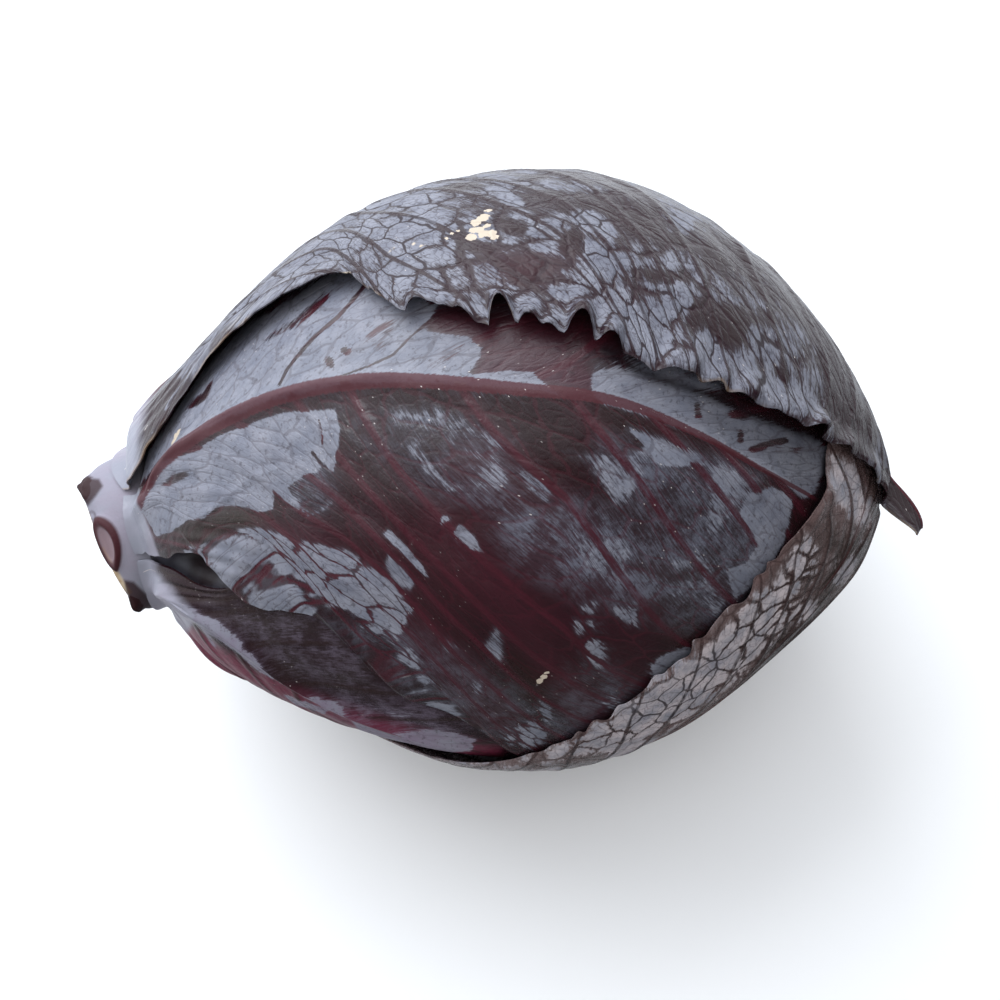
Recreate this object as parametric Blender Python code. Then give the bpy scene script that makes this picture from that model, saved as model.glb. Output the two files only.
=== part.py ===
"""A red cabbage head lying on its side, with its cut stalk towards -X and its leaf tip towards +X.

Metres, +Z up. The origin is the centre of the flat spot that the head rests on. The pieces are the stalk,
the tight heart and four wrapper leaves. All of them are laid on one egg-shaped surface, each in a layer of
its own, so that no leaf cuts another. A place on that surface is a pair of angles: alpha from the stalk's end
(0) to the head's tip (180), and phi round the head's axis from straight up (0) towards +Y (90).
"""

import math

import bpy
import numpy as np

MM = 0.001

# The head's egg shape
HEAD_LENGTH = 0.2045
HEAD_WIDTH = 0.152
WIDEST_AT = 0.58  # share of the length, from the stalk's end
STALK_END_POWERS = (2.0, 0.82)
TIP_END_POWERS = (1.82, 0.72)
BEND_REACH = 0.406  # share of the length over which the stalk's end bends
BEND_Y, BEND_Z = -0.0205, -0.005
STALK_CUT_SHORT = 0.0066  # how much of the egg's end the cut takes off
STALK_CUT_X = STALK_CUT_SHORT - HEAD_LENGTH * WIDEST_AT
STALK_RADIUS, STALK_BLEND = 0.0145, 4
CUT_SLANT, CUT_SLANT_REACH = 0.42, 0.03
TIP_RISE, TIP_RISE_FROM = 0.0026, 0.55
TIP_DROP, TIP_DROP_POWER = 0.0055, 6  # the blunt end leans back towards -Y
SWELLS = ((0.5, 2, 1, 0.3), (0.4, 3, 2, 1.7), (0.3, 4, 3, 4.0))  # mm, waves along, waves round, phase
BULGES = ((58, -110, 24, 34, 4.2), (152, -112, 14, 34, 3.0))  # alpha, phi, reach in each, and height in mm

# The layers, measured outwards from the egg's surface
BLADE = 0.8 * MM
LAYER_PITCH = 1.5 * MM
HEART_OFFSET = -4 * LAYER_PITCH
COVERED_RELIEF = 0.08 * MM  # the most that a vein stands up where another leaf lies on it
COVER_NEAR, COVER_FAR = 6.0, 15.0  # degrees from a covering leaf's edge over which relief comes back
PIECE_GAP = 0.35 * MM
STALK_FULL_TO, LEAVES_FROM, STALK_JOIN, LAYERS_FROM = 11.0, 20.0, 24.0, 29.0  # degrees of alpha

# The flat spot that the head rests on
FLAT_DEPTH = 3.0 * MM
REST_LAYER = 3
REST_OFFSET = (REST_LAYER - 4) * LAYER_PITCH
AXIS_HEIGHT = HEAD_WIDTH / 2 + REST_OFFSET - FLAT_DEPTH

# Where one leaf's edge lies over the next, as (alpha, phi) in degrees
BACK_LEAF_EDGE = (
    (20, 6), (27, 1.5), (32, 2), (36, 9.5), (41, 15), (46, 20), (53, 21), (60, 20.5), (66, 18.5), (69, 13),
    (73, 6), (78, 4), (84, 1), (90, -1), (102, -6), (110, -8), (120, -11), (133, -15.5), (149.5, -22),
    (161, -64),
)
BACK_LEAF_FAR_EDGE = (
    (20, 129), (28, 130), (38, 137), (52, 144), (78, 150), (104, 153), (130, 160), (152, 174), (168, 210),
    (167, 286),
)
TIP_LEAF_EDGE = (
    (20, -132), (30, -128), (45, -127), (56, -126), (66, -118), (75, -107), (81, -97), (88, -84),
    (92, -77.5), (97, -71.5), (104, -64.5), (112, -56.5), (119, -50.5), (125, -43.2), (129, -37),
    (134, -30.2), (136.5, -24), (137, -17), (140, -4.5), (146, 9),
)
TIP_EDGE_TURNS = 7  # the index from which the edge runs round the head more than along it
FRONT_LEAF_LOW_EDGE = (
    (20, -39), (30, -42), (36, -43), (40.5, -40), (45, -41.5), (48.5, -49.5), (53.5, -56), (61, -55),
    (65, -58.5), (69, -66), (73, -72), (78, -74), (82, -80), (86, -90), (94, -100), (112, -95), (130, -82),
    (145, -60),
)

LEAVES = {
    "low_leaf": {
        "layer": 1,
        "midrib": (
            (20, -70), (28, -63), (36, -61), (43, -65), (48, -69), (52, -73), (56, -77.5), (61, -82),
            (66, -85.5), (72, -88), (80, -91), (90, -96), (104, -102), (128, -105),
        ),
        "high_edge": (
            (20, -45), (28, -48), (37, -50), (43, -54), (48, -53), (53, -47), (58, -42), (68, -38), (88, -42),
            (108, -60), (124, -83), (130, -100),
        ),
        "low_edge": (
            (20, -126), (28, -121), (38, -118), (49, -121), (58, -129), (70, -140), (92, -148), (116, -138),
            (129, -114),
        ),
        "veins": 7, "sweep": 0.5,
        "rib": (4.4, 8.5), "rib_end": (1.2, 3.0), "rib_fade": 0.75, "vein": 0.8, "tail": 0.0,
        "colour": (0.105, 0.022, 0.038),
    },
    "front_leaf": {
        "layer": 2,
        "midrib": (
            (20, -15.5), (27, -11), (33, -5), (40, -1), (54, -2.5), (72, -6), (85, -9), (98, -11.5),
            (111, -17), (121, -23), (133, -31), (147, -48),
        ),
        "high_edge": (
            (20, 1), (27, -3.5), (31, 6.5), (36, 30), (45, 46), (54, 58), (78, 62), (104, 50), (128, 22),
            (144, -12), (148.5, -40),
        ),
        "low_edge": FRONT_LEAF_LOW_EDGE + ((148, -54),),
        "veins": 10, "sweep": 0.7,
        "rib": (3.0, 7.0), "rib_end": (0.2, 1.6), "rib_fade": 1.0, "vein": 1.1, "tail": 0.0,
        "colour": (0.075, 0.020, 0.030),
    },
    "tip_leaf": {
        "layer": 3,
        "midrib": (
            (20, -165), (30, -160), (50, -150), (80, -130), (104, -108), (120, -90), (133, -75),
            (147, -58), (152, -34), (148, -8),
        ),
        "high_edge": TIP_LEAF_EDGE,
        "low_edge": (
            (20, 135), (28, 136), (38, 131), (52, 129), (80, 130), (108, 128), (134, 122), (154, 98),
            (163, 44), (151, 10),
        ),
        "veins": 9, "sweep": 0.5,
        "rib": (2.6, 6.5), "rib_end": (0.3, 1.4), "rib_fade": 0.9, "vein": 1.0, "tail": 0.0,
        "colour": (0.085, 0.045, 0.045),
    },
    "back_leaf": {
        "layer": 4,
        "midrib": (
            (20, 66), (28, 70), (42, 76), (62, 82), (90, 84), (122, 78), (148, 60), (164, 20), (166, -68),
        ),
        "high_edge": BACK_LEAF_FAR_EDGE,
        "low_edge": BACK_LEAF_EDGE,
        "veins": 10, "sweep": 0.6,
        "rib": (3.0, 7.0), "rib_end": (0.4, 1.6), "rib_fade": 0.9, "vein": 1.1, "tail": 8.8,
        "colour": (0.125, 0.115, 0.150),
    },
}
ROWS_PER_VEIN = 3
EDGE_ROWS_PER_ROW = 4
COLUMN_WIDTH = 0.0115
EDGE_SHARES = (0.90, 0.95, 1.0)
RIB_COLUMNS = ((0.5, 0.16), (0.85, 0.32), (1.15, 0.48))  # in half-widths of the midrib, and at most in b
RIB_PROFILE_POWER = 2.2
VEIN_ARCH = 0.10

# The wavy edges: (leaf, side, from share, to share, wave length mm, lift mm, ruffle mm, pull-in mm)
RUFFLES = (
    ("back_leaf", -1, 0.34, 0.66, 11.5, 1.4, 2.8, 2.6),
    ("back_leaf", -1, 0.64, 0.98, 21.0, 1.0, 1.0, 0.8),
    ("back_leaf", -1, 0.16, 0.36, 60.0, 2.0, 0.4, 0.4),
    ("back_leaf", 1, 0.12, 0.92, 17.0, 0.8, 1.4, 1.6),
    ("tip_leaf", 1, 0.46, 0.82, 8.0, 0.1, 0.7, 1.2),
    ("tip_leaf", 1, 0.77, 0.97, 26.0, 2.8, 0.6, 0.8),
    ("front_leaf", -1, 0.20, 0.50, 13.0, 0.0, 0.5, 0.8),
    ("low_leaf", -1, 0.03, 0.40, 40.0, 2.6, 0.4, 0.0),
)
RUFFLE_DEPTH = 11.0 * MM
RUFFLE_EASE = 0.05
FINE_WAVE = 13.0  # edges with a shorter wave than this get more points

# The heart's inner leaves
HEART_AROUND, HEART_ALONG = 34, 18
HEART_EDGES = ((-60, 26, 0.45), (60, -22, 0.4), (150, 30, 0.45))  # phi, twist over the length, step mm
HEART_RIBS = (-150, -95, -40, 20, 75, 130)
HEART_RIB_HEIGHT, HEART_SET_IN = 0.3 * MM, 0.9 * MM
POCKET = (41.0, -48.0, 8.5, 9.0, 6.5)  # alpha, phi, reach in each, and depth in mm

# The cut stalk: leaf stubs as (alpha, phi, reach in each, height mm), and the ring-shaped scar of a lost leaf
STALK_AROUND = 34
CUT_ROUGHNESS = 0.35 * MM
STALK_STUBS = ((8.5, 27.0, 4.5, 15.0, 2.2), (12.0, -79.0, 3.8, 12.0, 3.2), (12.0, 132.0, 4.0, 14.0, 2.4))
STALK_SCAR = (9.5, -25.0, 5.5, 18.0, 1.0)
SCAR_RIM = 0.35

STALK_COLOUR = (0.42, 0.38, 0.42)
HEART_COLOUR = (0.16, 0.16, 0.20)
LEAF_ROUGHNESS, STALK_ROUGHNESS = 0.35, 0.6


def smooth(low, high, value):
    """0 at low, 1 at high, and an easy curve between."""
    share = np.clip((value - low) / (high - low), 0.0, 1.0)
    return share * share * (3.0 - 2.0 * share)


def bump(alpha, phi, spot):
    """1 at a spot (alpha, phi, reach along, reach round, ...), fading to 0, for angles in degrees."""
    turned = (phi - spot[1] + 180.0) % 360.0 - 180.0
    return np.exp(-(((alpha - spot[0]) / spot[2]) ** 2) - (turned / spot[3]) ** 2)


def profile(alpha):
    """The egg's outline: distance along the axis from its widest place, and radius."""
    cosine = np.cos(alpha)
    stalk_side = cosine > 0
    reach = HEAD_LENGTH * np.where(stalk_side, WIDEST_AT, 1.0 - WIDEST_AT)
    inner = np.where(stalk_side, STALK_END_POWERS[0], TIP_END_POWERS[0])
    outer = np.where(stalk_side, STALK_END_POWERS[1], TIP_END_POWERS[1])
    x = STALK_CUT_SHORT * smooth(math.radians(42), math.radians(15), alpha) - reach * cosine
    radius = HEAD_WIDTH / 2 * (1.0 - np.clip(np.abs(x) / reach, 0.0, 1.0) ** inner) ** outer
    stalk = STALK_RADIUS * smooth(math.radians(70), math.radians(20), alpha)
    return x, (radius**STALK_BLEND + stalk**STALK_BLEND) ** (1.0 / STALK_BLEND)


def surface(alpha_deg, phi_deg, offset):
    """The point at these angles, that far outside the egg's surface, once the head is bent and set down."""
    alpha, phi = np.radians(alpha_deg), np.radians(phi_deg)
    step, end = 2e-3, 1e-4
    x, radius = profile(alpha)
    x_before, r_before = profile(np.clip(alpha - step, end, math.pi - end))
    x_after, r_after = profile(np.clip(alpha + step, end, math.pi - end))
    run, rise = x_after - x_before, r_after - r_before
    slant = np.hypot(run, rise)
    for height, along, around, phase in SWELLS:
        wave = np.sin(along * alpha + phase) * np.cos(around * phi + phase) * np.sin(alpha) ** 2
        offset = offset + height * MM * wave
    for bulge in BULGES:
        offset = offset + bulge[4] * MM * bump(alpha_deg, phi_deg, bulge)
    x = x - offset * rise / slant
    radius = radius + offset * run / slant
    share = (x + HEAD_LENGTH * WIDEST_AT) / HEAD_LENGTH
    bend = np.clip(1.0 - share / BEND_REACH, 0.0, None) ** 2
    side, up = radius * np.sin(phi), radius * np.cos(phi)
    towards_bend = (side * BEND_Y + up * BEND_Z) / math.hypot(BEND_Y, BEND_Z)
    slant_here = CUT_SLANT * np.clip(1.0 - (x - STALK_CUT_X) / CUT_SLANT_REACH, 0.0, 1.0) ** 2
    tipwards = np.clip((share - TIP_RISE_FROM) / (1.0 - TIP_RISE_FROM), 0.0, None)
    lift = TIP_RISE * tipwards - TIP_DROP * tipwards**TIP_DROP_POWER
    y = side + BEND_Y * bend + lift
    z = AXIS_HEIGHT + up + BEND_Z * bend
    floor = np.maximum(REST_OFFSET - offset, 0.0)
    return np.stack([x + slant_here * towards_bend, y, np.maximum(z, floor)], axis=-1)


def direction(alpha_deg, phi_deg):
    alpha, phi = np.radians(alpha_deg), np.radians(phi_deg)
    return np.stack([-np.cos(alpha), np.sin(alpha) * np.sin(phi), np.sin(alpha) * np.cos(phi)], axis=-1)


def angles(vector):
    vector = vector / np.linalg.norm(vector, axis=-1, keepdims=True)
    alpha = np.degrees(np.arccos(np.clip(-vector[..., 0], -1.0, 1.0)))
    return alpha, np.degrees(np.arctan2(vector[..., 1], vector[..., 2]))


def curve(places):
    """A smooth curve of directions through these places, as a function of the share of its length."""
    knots = direction(*np.array(places, float).T)
    knots = np.vstack([2 * knots[0] - knots[1], knots, 2 * knots[-1] - knots[-2]])
    fine = np.linspace(0.0, 1.0, 16, endpoint=False)[:, None]
    points = []
    for before, start, end, after in zip(knots, knots[1:], knots[2:], knots[3:]):
        points.append(
            start
            + 0.5 * fine * (end - before)
            + fine**2 * (before - 2.5 * start + 2 * end - 0.5 * after)
            + fine**3 * (1.5 * (start - end) + 0.5 * (after - before))
        )
    points = np.vstack([*points, knots[-2:-1]])
    points /= np.linalg.norm(points, axis=1, keepdims=True)
    length = np.concatenate([[0.0], np.cumsum(np.linalg.norm(np.diff(points, axis=0), axis=1))])
    share = length / length[-1]
    return lambda where: np.stack([np.interp(where, share, points[:, axis]) for axis in range(3)], axis=-1)


class Leaf:
    """One wrapper leaf. A place on it is (a, b): a along the midrib, b from -1 over 0 at the midrib to 1."""

    def __init__(self, name, facts):
        self.name = name
        self.facts = facts
        self.midrib = curve(facts["midrib"])
        self.edges = {1: curve(facts["high_edge"]), -1: curve(facts["low_edge"])}

    def place(self, a, b):
        """The direction of (a, b): along a vein that leaves the midrib and sweeps forward to the edge."""
        swept = a + self.facts["sweep"] * a * (1.0 - a)
        start = self.midrib(a)
        end = np.where((b > 0)[..., None], self.edges[1](swept), self.edges[-1](swept))
        start /= np.linalg.norm(start, axis=-1, keepdims=True)
        end /= np.linalg.norm(end, axis=-1, keepdims=True)
        width = np.arccos(np.clip((start * end).sum(-1), -1.0, 1.0))
        share = np.abs(b)
        point = (
            np.sin((1.0 - share) * width)[..., None] * start + np.sin(share * width)[..., None] * end
        ) / np.sin(width)[..., None]
        ahead = self.midrib(np.minimum(a + 0.02, 1.0)) - self.midrib(np.maximum(a - 0.02, 0.0))
        ahead /= np.linalg.norm(ahead, axis=-1, keepdims=True)
        return point + (VEIN_ARCH * np.sin(math.pi * share) * np.sin(math.pi * a))[..., None] * ahead

    def half_width(self, a, side):
        """The distance in metres from the midrib to that edge, roughly."""
        ends = self.place(a, np.full_like(a, side * 1.0))
        alpha, phi = angles(self.midrib(a))
        alpha_end, phi_end = angles(ends)
        straight = np.linalg.norm(surface(alpha, phi, 0.0) - surface(alpha_end, phi_end, 0.0), axis=-1)
        chord_share = np.clip(straight / HEAD_WIDTH, 0.0, 0.97)
        return HEAD_WIDTH * np.arcsin(chord_share)

    def rib(self, a):
        """The midrib's height and half-width, in metres."""
        height, width = (
            start + (end - start) * np.minimum(a / self.facts["rib_fade"], 1.0) ** 0.7
            for start, end in zip(self.facts["rib"], self.facts["rib_end"])
        )
        return height * MM, width * MM

    def uncovered(self, alpha, phi):
        """1 where nothing lies on this leaf, 0 where another leaf covers it."""
        if self.name == "back_leaf":
            return np.ones_like(alpha)
        if self.name == "low_leaf":
            front_edge = np.interp(alpha, *np.array(FRONT_LEAF_LOW_EDGE, float).T)
            tip_edge = np.interp(alpha, *np.array(TIP_LEAF_EDGE[:TIP_EDGE_TURNS], float).T)
            free = smooth(front_edge - 3.0, front_edge - 9.0, phi) * smooth(83.0, 76.0, alpha)
            return free * smooth(tip_edge + 3.0, tip_edge + 10.0, phi)
        near_edge = np.interp(alpha, *np.array(BACK_LEAF_EDGE, float).T)
        far_edge = np.interp(alpha, *np.array(BACK_LEAF_FAR_EDGE, float).T)
        past = (phi - near_edge) % 360.0
        free = smooth(COVER_NEAR, COVER_FAR, np.minimum(past - (far_edge - near_edge), 360.0 - past))
        if self.name == "front_leaf":
            tip_edge = np.interp(phi, *np.array(TIP_LEAF_EDGE[TIP_EDGE_TURNS:], float).T[::-1])
            free = free * smooth(tip_edge - 5.0, tip_edge - 13.0, alpha)
        return free

    def relief(self, a, b):
        """How far the midrib and the side veins stand out, in metres."""
        alpha, phi = angles(self.place(a, b))
        away = np.abs(b) * np.where(b > 0, self.half_width(a, 1), self.half_width(a, -1))
        height, width = self.rib(a)
        ridge = height * np.clip(1.0 - (away / (1.15 * width)) ** RIB_PROFILE_POWER, 0.0, None)
        cycle = np.abs((a * self.facts["veins"] + 0.5) % 1.0 - 0.5) * ROWS_PER_VEIN
        vein = self.facts["vein"] * MM * np.clip(1.0 - cycle, 0.0, 1.0) * (1.0 - 0.6 * np.abs(b))
        vein *= smooth(0.0, 0.08, a) * smooth(1.0, 0.94, a)
        free = self.uncovered(alpha, phi)
        standing = np.maximum(ridge, vein)
        return free * standing + (1.0 - free) * np.minimum(standing, COVERED_RELIEF)

    def ruffle(self, a, b):
        """How far the wavy edge lifts, and how far it is pulled in, in metres."""
        lift, pull = np.zeros_like(a), np.zeros_like(a)
        free = self.uncovered(*angles(self.place(a, b)))
        for name, side, first, last, wave, rise, height, depth in RUFFLES:
            if name != self.name:
                continue
            half = self.half_width(a, side)
            near = free * smooth(RUFFLE_DEPTH, 0.0, (1.0 - b * side) * half) * (b * side > 0)
            swept = a + self.facts["sweep"] * a * (1.0 - a)
            part = smooth(first, first + RUFFLE_EASE, swept) * smooth(last, last - RUFFLE_EASE, swept)
            run = swept * 3.6 * HEAD_WIDTH / 2 / MM / wave
            beat = run + 0.23 * np.sin(1.7 * run) + 0.11 * np.sin(4.1 * run + 1.0)
            lift += near * part * (rise + height * (0.5 - 0.5 * np.cos(2 * math.pi * beat))) * MM
            pull += near * part * depth * MM * (0.5 - 0.5 * np.cos(2 * math.pi * beat + 0.9))
        return lift, pull

    def faces_at(self, a, b):
        """The outer and inner points at (a, b)."""
        lift, pull = self.ruffle(a, b)
        half = np.where(b > 0, self.half_width(a, 1), self.half_width(a, -1))
        b = b * (1.0 - pull / np.maximum(half, 0.01))
        alpha, phi = angles(self.place(a, b))
        settled = smooth(LEAVES_FROM, LAYERS_FROM, alpha)
        layer = (self.facts["layer"] - 4) * LAYER_PITCH - BLADE
        base = core_offset(alpha) + PIECE_GAP
        inner = base + (layer - HEART_OFFSET - PIECE_GAP) * settled + lift
        inner = inner + self.facts["tail"] * MM * smooth(0.92, 1.0, a)
        root = smooth(0.0, 0.10, a)
        outer = inner + BLADE + self.relief(a, b) * (0.25 + 0.75 * root)
        return surface(alpha, phi, outer), surface(alpha, phi, inner)


def core_offset(alpha):
    """How far under the egg's surface the stalk and the heart lie."""
    return HEART_OFFSET * smooth(STALK_FULL_TO, LAYERS_FROM - 3.0, alpha)


def add_solid(name, points, triangles, colour, roughness):
    """A closed mesh as an object with its own material."""
    mesh = bpy.data.meshes.new(name)
    mesh.from_pydata([tuple(p) for p in points], [], [tuple(t) for t in triangles])
    mesh.validate()
    mesh.shade_smooth()
    mesh.set_sharp_from_angle(angle=math.radians(50))
    material = bpy.data.materials.new(name + "_skin")
    material.use_nodes = True
    shader = material.node_tree.nodes["Principled BSDF"]
    shader.inputs["Base Color"].default_value = (*colour, 1.0)
    shader.inputs["Roughness"].default_value = roughness
    mesh.materials.append(material)
    obj = bpy.data.objects.new(name, mesh)
    bpy.context.scene.collection.objects.link(obj)
    return obj


def zip_strip(left, left_at, right, right_at):
    """Triangles between two lines of points, each with its places along them."""
    made, i, j = [], 0, 0
    while i < len(left) - 1 or j < len(right) - 1:
        take_left = j == len(right) - 1 or (i < len(left) - 1 and left_at[i + 1] <= right_at[j + 1] + 1e-9)
        if take_left:
            made.append((left[i], left[i + 1], right[j]))
            i += 1
        else:
            made.append((left[i], right[j + 1], right[j]))
            j += 1
    return made


def leaf_columns(leaf):
    """The leaf's lines from base to tip, as (rows, b), from the low edge over the midrib to the high edge."""
    rows = np.linspace(0.0, 1.0, leaf.facts["veins"] * ROWS_PER_VEIN + 1)
    fine = np.linspace(0.0, 1.0, (len(rows) - 1) * EDGE_ROWS_PER_ROW + 1)
    waved = {side for name, side, _, _, wave, *_ in RUFFLES if name == leaf.name and wave < FINE_WAVE}
    columns = []
    for side in (-1, 1):
        half = leaf.half_width(rows, side)
        width = leaf.rib(rows)[1]
        inner = [np.minimum(k * width / half, most) for k, most in RIB_COLUMNS]
        start = inner[-1]
        blade = math.ceil(half.max() / COLUMN_WIDTH)
        shares = [start + (EDGE_SHARES[0] - start) * (k + 1) / blade for k in range(blade)]
        found = [(rows, side * b) for b in [*inner, *shares]]
        if side in waved:
            found += [(fine, np.full_like(fine, side * share)) for share in EDGE_SHARES[1:]]
        else:
            found += [(rows, np.full_like(rows, side * EDGE_SHARES[-1]))]
        columns += found[::-1] if side < 0 else [(rows, np.zeros_like(rows)), *found]
    return columns


def build_leaf(name, facts):
    leaf = Leaf(name, facts)
    outer, inner, ids, count = [], [], [], 0
    columns = leaf_columns(leaf)
    for rows, b in columns:
        out_points, in_points = leaf.faces_at(rows, b)
        outer.append(out_points)
        inner.append(in_points)
        ids.append(list(range(count, count + len(rows))))
        count += len(rows)
    triangles = []
    for k in range(len(columns) - 1):
        strip = zip_strip(ids[k], columns[k][0], ids[k + 1], columns[k + 1][0])
        triangles += strip
        triangles += [(t[0] + count, t[2] + count, t[1] + count) for t in strip]
    first, last = ids[0], ids[-1]
    base, tip = [line[0] for line in ids], [line[-1] for line in ids]
    rim = [*base, *last[1:], *tip[::-1][1:], *first[::-1][1:-1]]
    for here, there in zip(rim, rim[1:] + rim[:1]):
        triangles += [(here, there, here + count), (there, there + count, here + count)]
    points = np.vstack([*outer, *inner])
    return add_solid(name, points, triangles, facts["colour"], LEAF_ROUGHNESS)


def closed_rings(rings, start, end):
    """Points and triangles of rings of equal length, closed by a point at each end."""
    around = len(rings[0])
    points = [start, *[p for ring in rings for p in ring], end]
    triangles = []
    for k in range(around):
        n = (k + 1) % around
        triangles.append((0, 1 + k, 1 + n))
        for r in range(len(rings) - 1):
            low, high = 1 + r * around, 1 + (r + 1) * around
            triangles += [(low + k, high + k, low + n), (low + n, high + k, high + n)]
        top = 1 + (len(rings) - 1) * around
        triangles.append((top + k, len(points) - 1, top + n))
    return np.array(points), triangles


def heart_relief(alpha, phi):
    """The inner leaves' edges and ribs and the pocket by the stalk, in metres."""
    height = np.full_like(alpha, -HEART_SET_IN)
    for edge, twist, step in HEART_EDGES:
        line = (phi - edge - twist * (alpha - 90.0) / 90.0 + 180.0) % 360.0 - 180.0
        height += step * MM * (smooth(-6.0, 0.0, line) - smooth(0.0, 110.0, line))
    for rib in HEART_RIBS:
        height += HEART_RIB_HEIGHT * bump(alpha, phi, (34.0, rib, 16.0, 9.0))
    return height - bump(alpha, phi, POCKET) * POCKET[4] * MM


def build_heart():
    """The tight ball of inner leaves, from the stalk's joint to the head's tip."""
    phi = np.linspace(-180.0, 180.0, HEART_AROUND, endpoint=False)
    rings = []
    for alpha in np.linspace(STALK_JOIN + 0.6, 177.0, HEART_ALONG):
        spot = np.full_like(phi, alpha)
        set_in = heart_relief(spot, phi) * smooth(STALK_JOIN, STALK_JOIN + 8.0, spot)
        rings.append(surface(spot, phi, core_offset(spot) + set_in))
    end = surface(np.array([179.9]), np.array([0.0]), np.array([HEART_OFFSET - HEART_SET_IN]))[0]
    points, triangles = closed_rings(rings, rings[0].mean(axis=0), end)
    return add_solid("heart", points, triangles, HEART_COLOUR, LEAF_ROUGHNESS)


def stalk_offset(alpha, phi):
    """The stalk's skin, with its leaf stubs and the raised ring of the scar."""
    offset = core_offset(alpha)
    for stub in STALK_STUBS:
        offset = offset + bump(alpha, phi, stub) * stub[4] * MM
    turned = (phi - STALK_SCAR[1] + 180.0) % 360.0 - 180.0
    from_middle = np.hypot((alpha - STALK_SCAR[0]) / STALK_SCAR[2], turned / STALK_SCAR[3])
    return offset + STALK_SCAR[4] * MM * np.exp(-(((from_middle - 1.0) / SCAR_RIM) ** 2))


def build_stalk():
    """The stub of the stalk, with its cut face, leaf stubs and a ring-shaped leaf scar."""
    phi = np.linspace(-180.0, 180.0, STALK_AROUND, endpoint=False)
    side = [np.full_like(phi, alpha) for alpha in np.linspace(3.0, STALK_JOIN - 0.6, 9)]
    skin = [surface(spot, phi, stalk_offset(spot, phi)) for spot in side]
    centre = skin[0].mean(axis=0)
    random = np.random.default_rng(4)
    cut = [centre + (skin[0] - centre) * share for share in (0.3, 0.55, 0.8, 0.95)]
    for ring in cut:
        ring[:, 0] += random.uniform(-CUT_ROUGHNESS, CUT_ROUGHNESS, len(phi))
    points, triangles = closed_rings([*cut, *skin], centre, skin[-1].mean(axis=0))
    return add_solid("stalk", points, triangles, STALK_COLOUR, STALK_ROUGHNESS)


def main():
    for obj in list(bpy.data.objects):
        bpy.data.objects.remove(obj, do_unlink=True)
    build_stalk()
    build_heart()
    for name, facts in LEAVES.items():
        build_leaf(name, facts)


main()
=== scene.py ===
import math

import bpy
import numpy as np
from mathutils import Matrix, Vector


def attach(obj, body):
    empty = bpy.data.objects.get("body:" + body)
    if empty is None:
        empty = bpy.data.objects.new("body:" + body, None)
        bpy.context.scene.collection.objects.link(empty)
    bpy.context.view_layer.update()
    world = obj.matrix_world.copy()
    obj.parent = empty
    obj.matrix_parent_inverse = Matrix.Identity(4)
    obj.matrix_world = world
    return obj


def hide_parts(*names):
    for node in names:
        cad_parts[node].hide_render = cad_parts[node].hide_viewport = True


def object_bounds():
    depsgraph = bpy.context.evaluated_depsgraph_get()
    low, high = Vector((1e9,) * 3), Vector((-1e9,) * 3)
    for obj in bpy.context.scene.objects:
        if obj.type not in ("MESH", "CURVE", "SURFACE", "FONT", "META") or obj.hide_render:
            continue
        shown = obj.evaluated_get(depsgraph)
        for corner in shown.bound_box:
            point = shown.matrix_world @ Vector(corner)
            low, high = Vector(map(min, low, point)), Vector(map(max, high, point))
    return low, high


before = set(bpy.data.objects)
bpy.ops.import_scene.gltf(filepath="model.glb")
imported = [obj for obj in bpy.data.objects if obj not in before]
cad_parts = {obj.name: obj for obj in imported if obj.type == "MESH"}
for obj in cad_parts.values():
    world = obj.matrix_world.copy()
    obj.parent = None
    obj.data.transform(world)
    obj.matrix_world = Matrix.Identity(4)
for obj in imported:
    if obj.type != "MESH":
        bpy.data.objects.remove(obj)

CAD_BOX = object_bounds()
MM = 0.001

# The head's form, the same as in the solids
HEAD_LENGTH = 0.2045
HEAD_WIDTH = 0.152
WIDEST_AT = 0.58
STALK_END_POWERS = (2.0, 0.82)
TIP_END_POWERS = (1.82, 0.72)
BEND_REACH = 0.406
BEND_Y, BEND_Z = -0.0205, -0.005
STALK_CUT_SHORT = 0.0066
STALK_CUT_X = STALK_CUT_SHORT - HEAD_LENGTH * WIDEST_AT
STALK_RADIUS, STALK_BLEND = 0.0145, 4
CUT_SLANT, CUT_SLANT_REACH = 0.42, 0.03
TIP_RISE, TIP_RISE_FROM = 0.0026, 0.55
TIP_DROP, TIP_DROP_POWER = 0.0055, 6
SWELLS = ((0.5, 2, 1, 0.3), (0.4, 3, 2, 1.7), (0.3, 4, 3, 4.0))
BULGES = ((58, -110, 24, 34, 4.2), (152, -112, 14, 34, 3.0))
BLADE = 0.8 * MM
LAYER_PITCH = 1.5 * MM
HEART_OFFSET = -4 * LAYER_PITCH
COVERED_RELIEF = 0.08 * MM
COVER_NEAR, COVER_FAR = 6.0, 15.0
PIECE_GAP = 0.35 * MM
STALK_FULL_TO, LEAVES_FROM, STALK_JOIN, LAYERS_FROM = 11.0, 20.0, 24.0, 29.0
FLAT_DEPTH = 3.0 * MM
REST_LAYER = 3
REST_OFFSET = (REST_LAYER - 4) * LAYER_PITCH
AXIS_HEIGHT = HEAD_WIDTH / 2 + REST_OFFSET - FLAT_DEPTH

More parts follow.
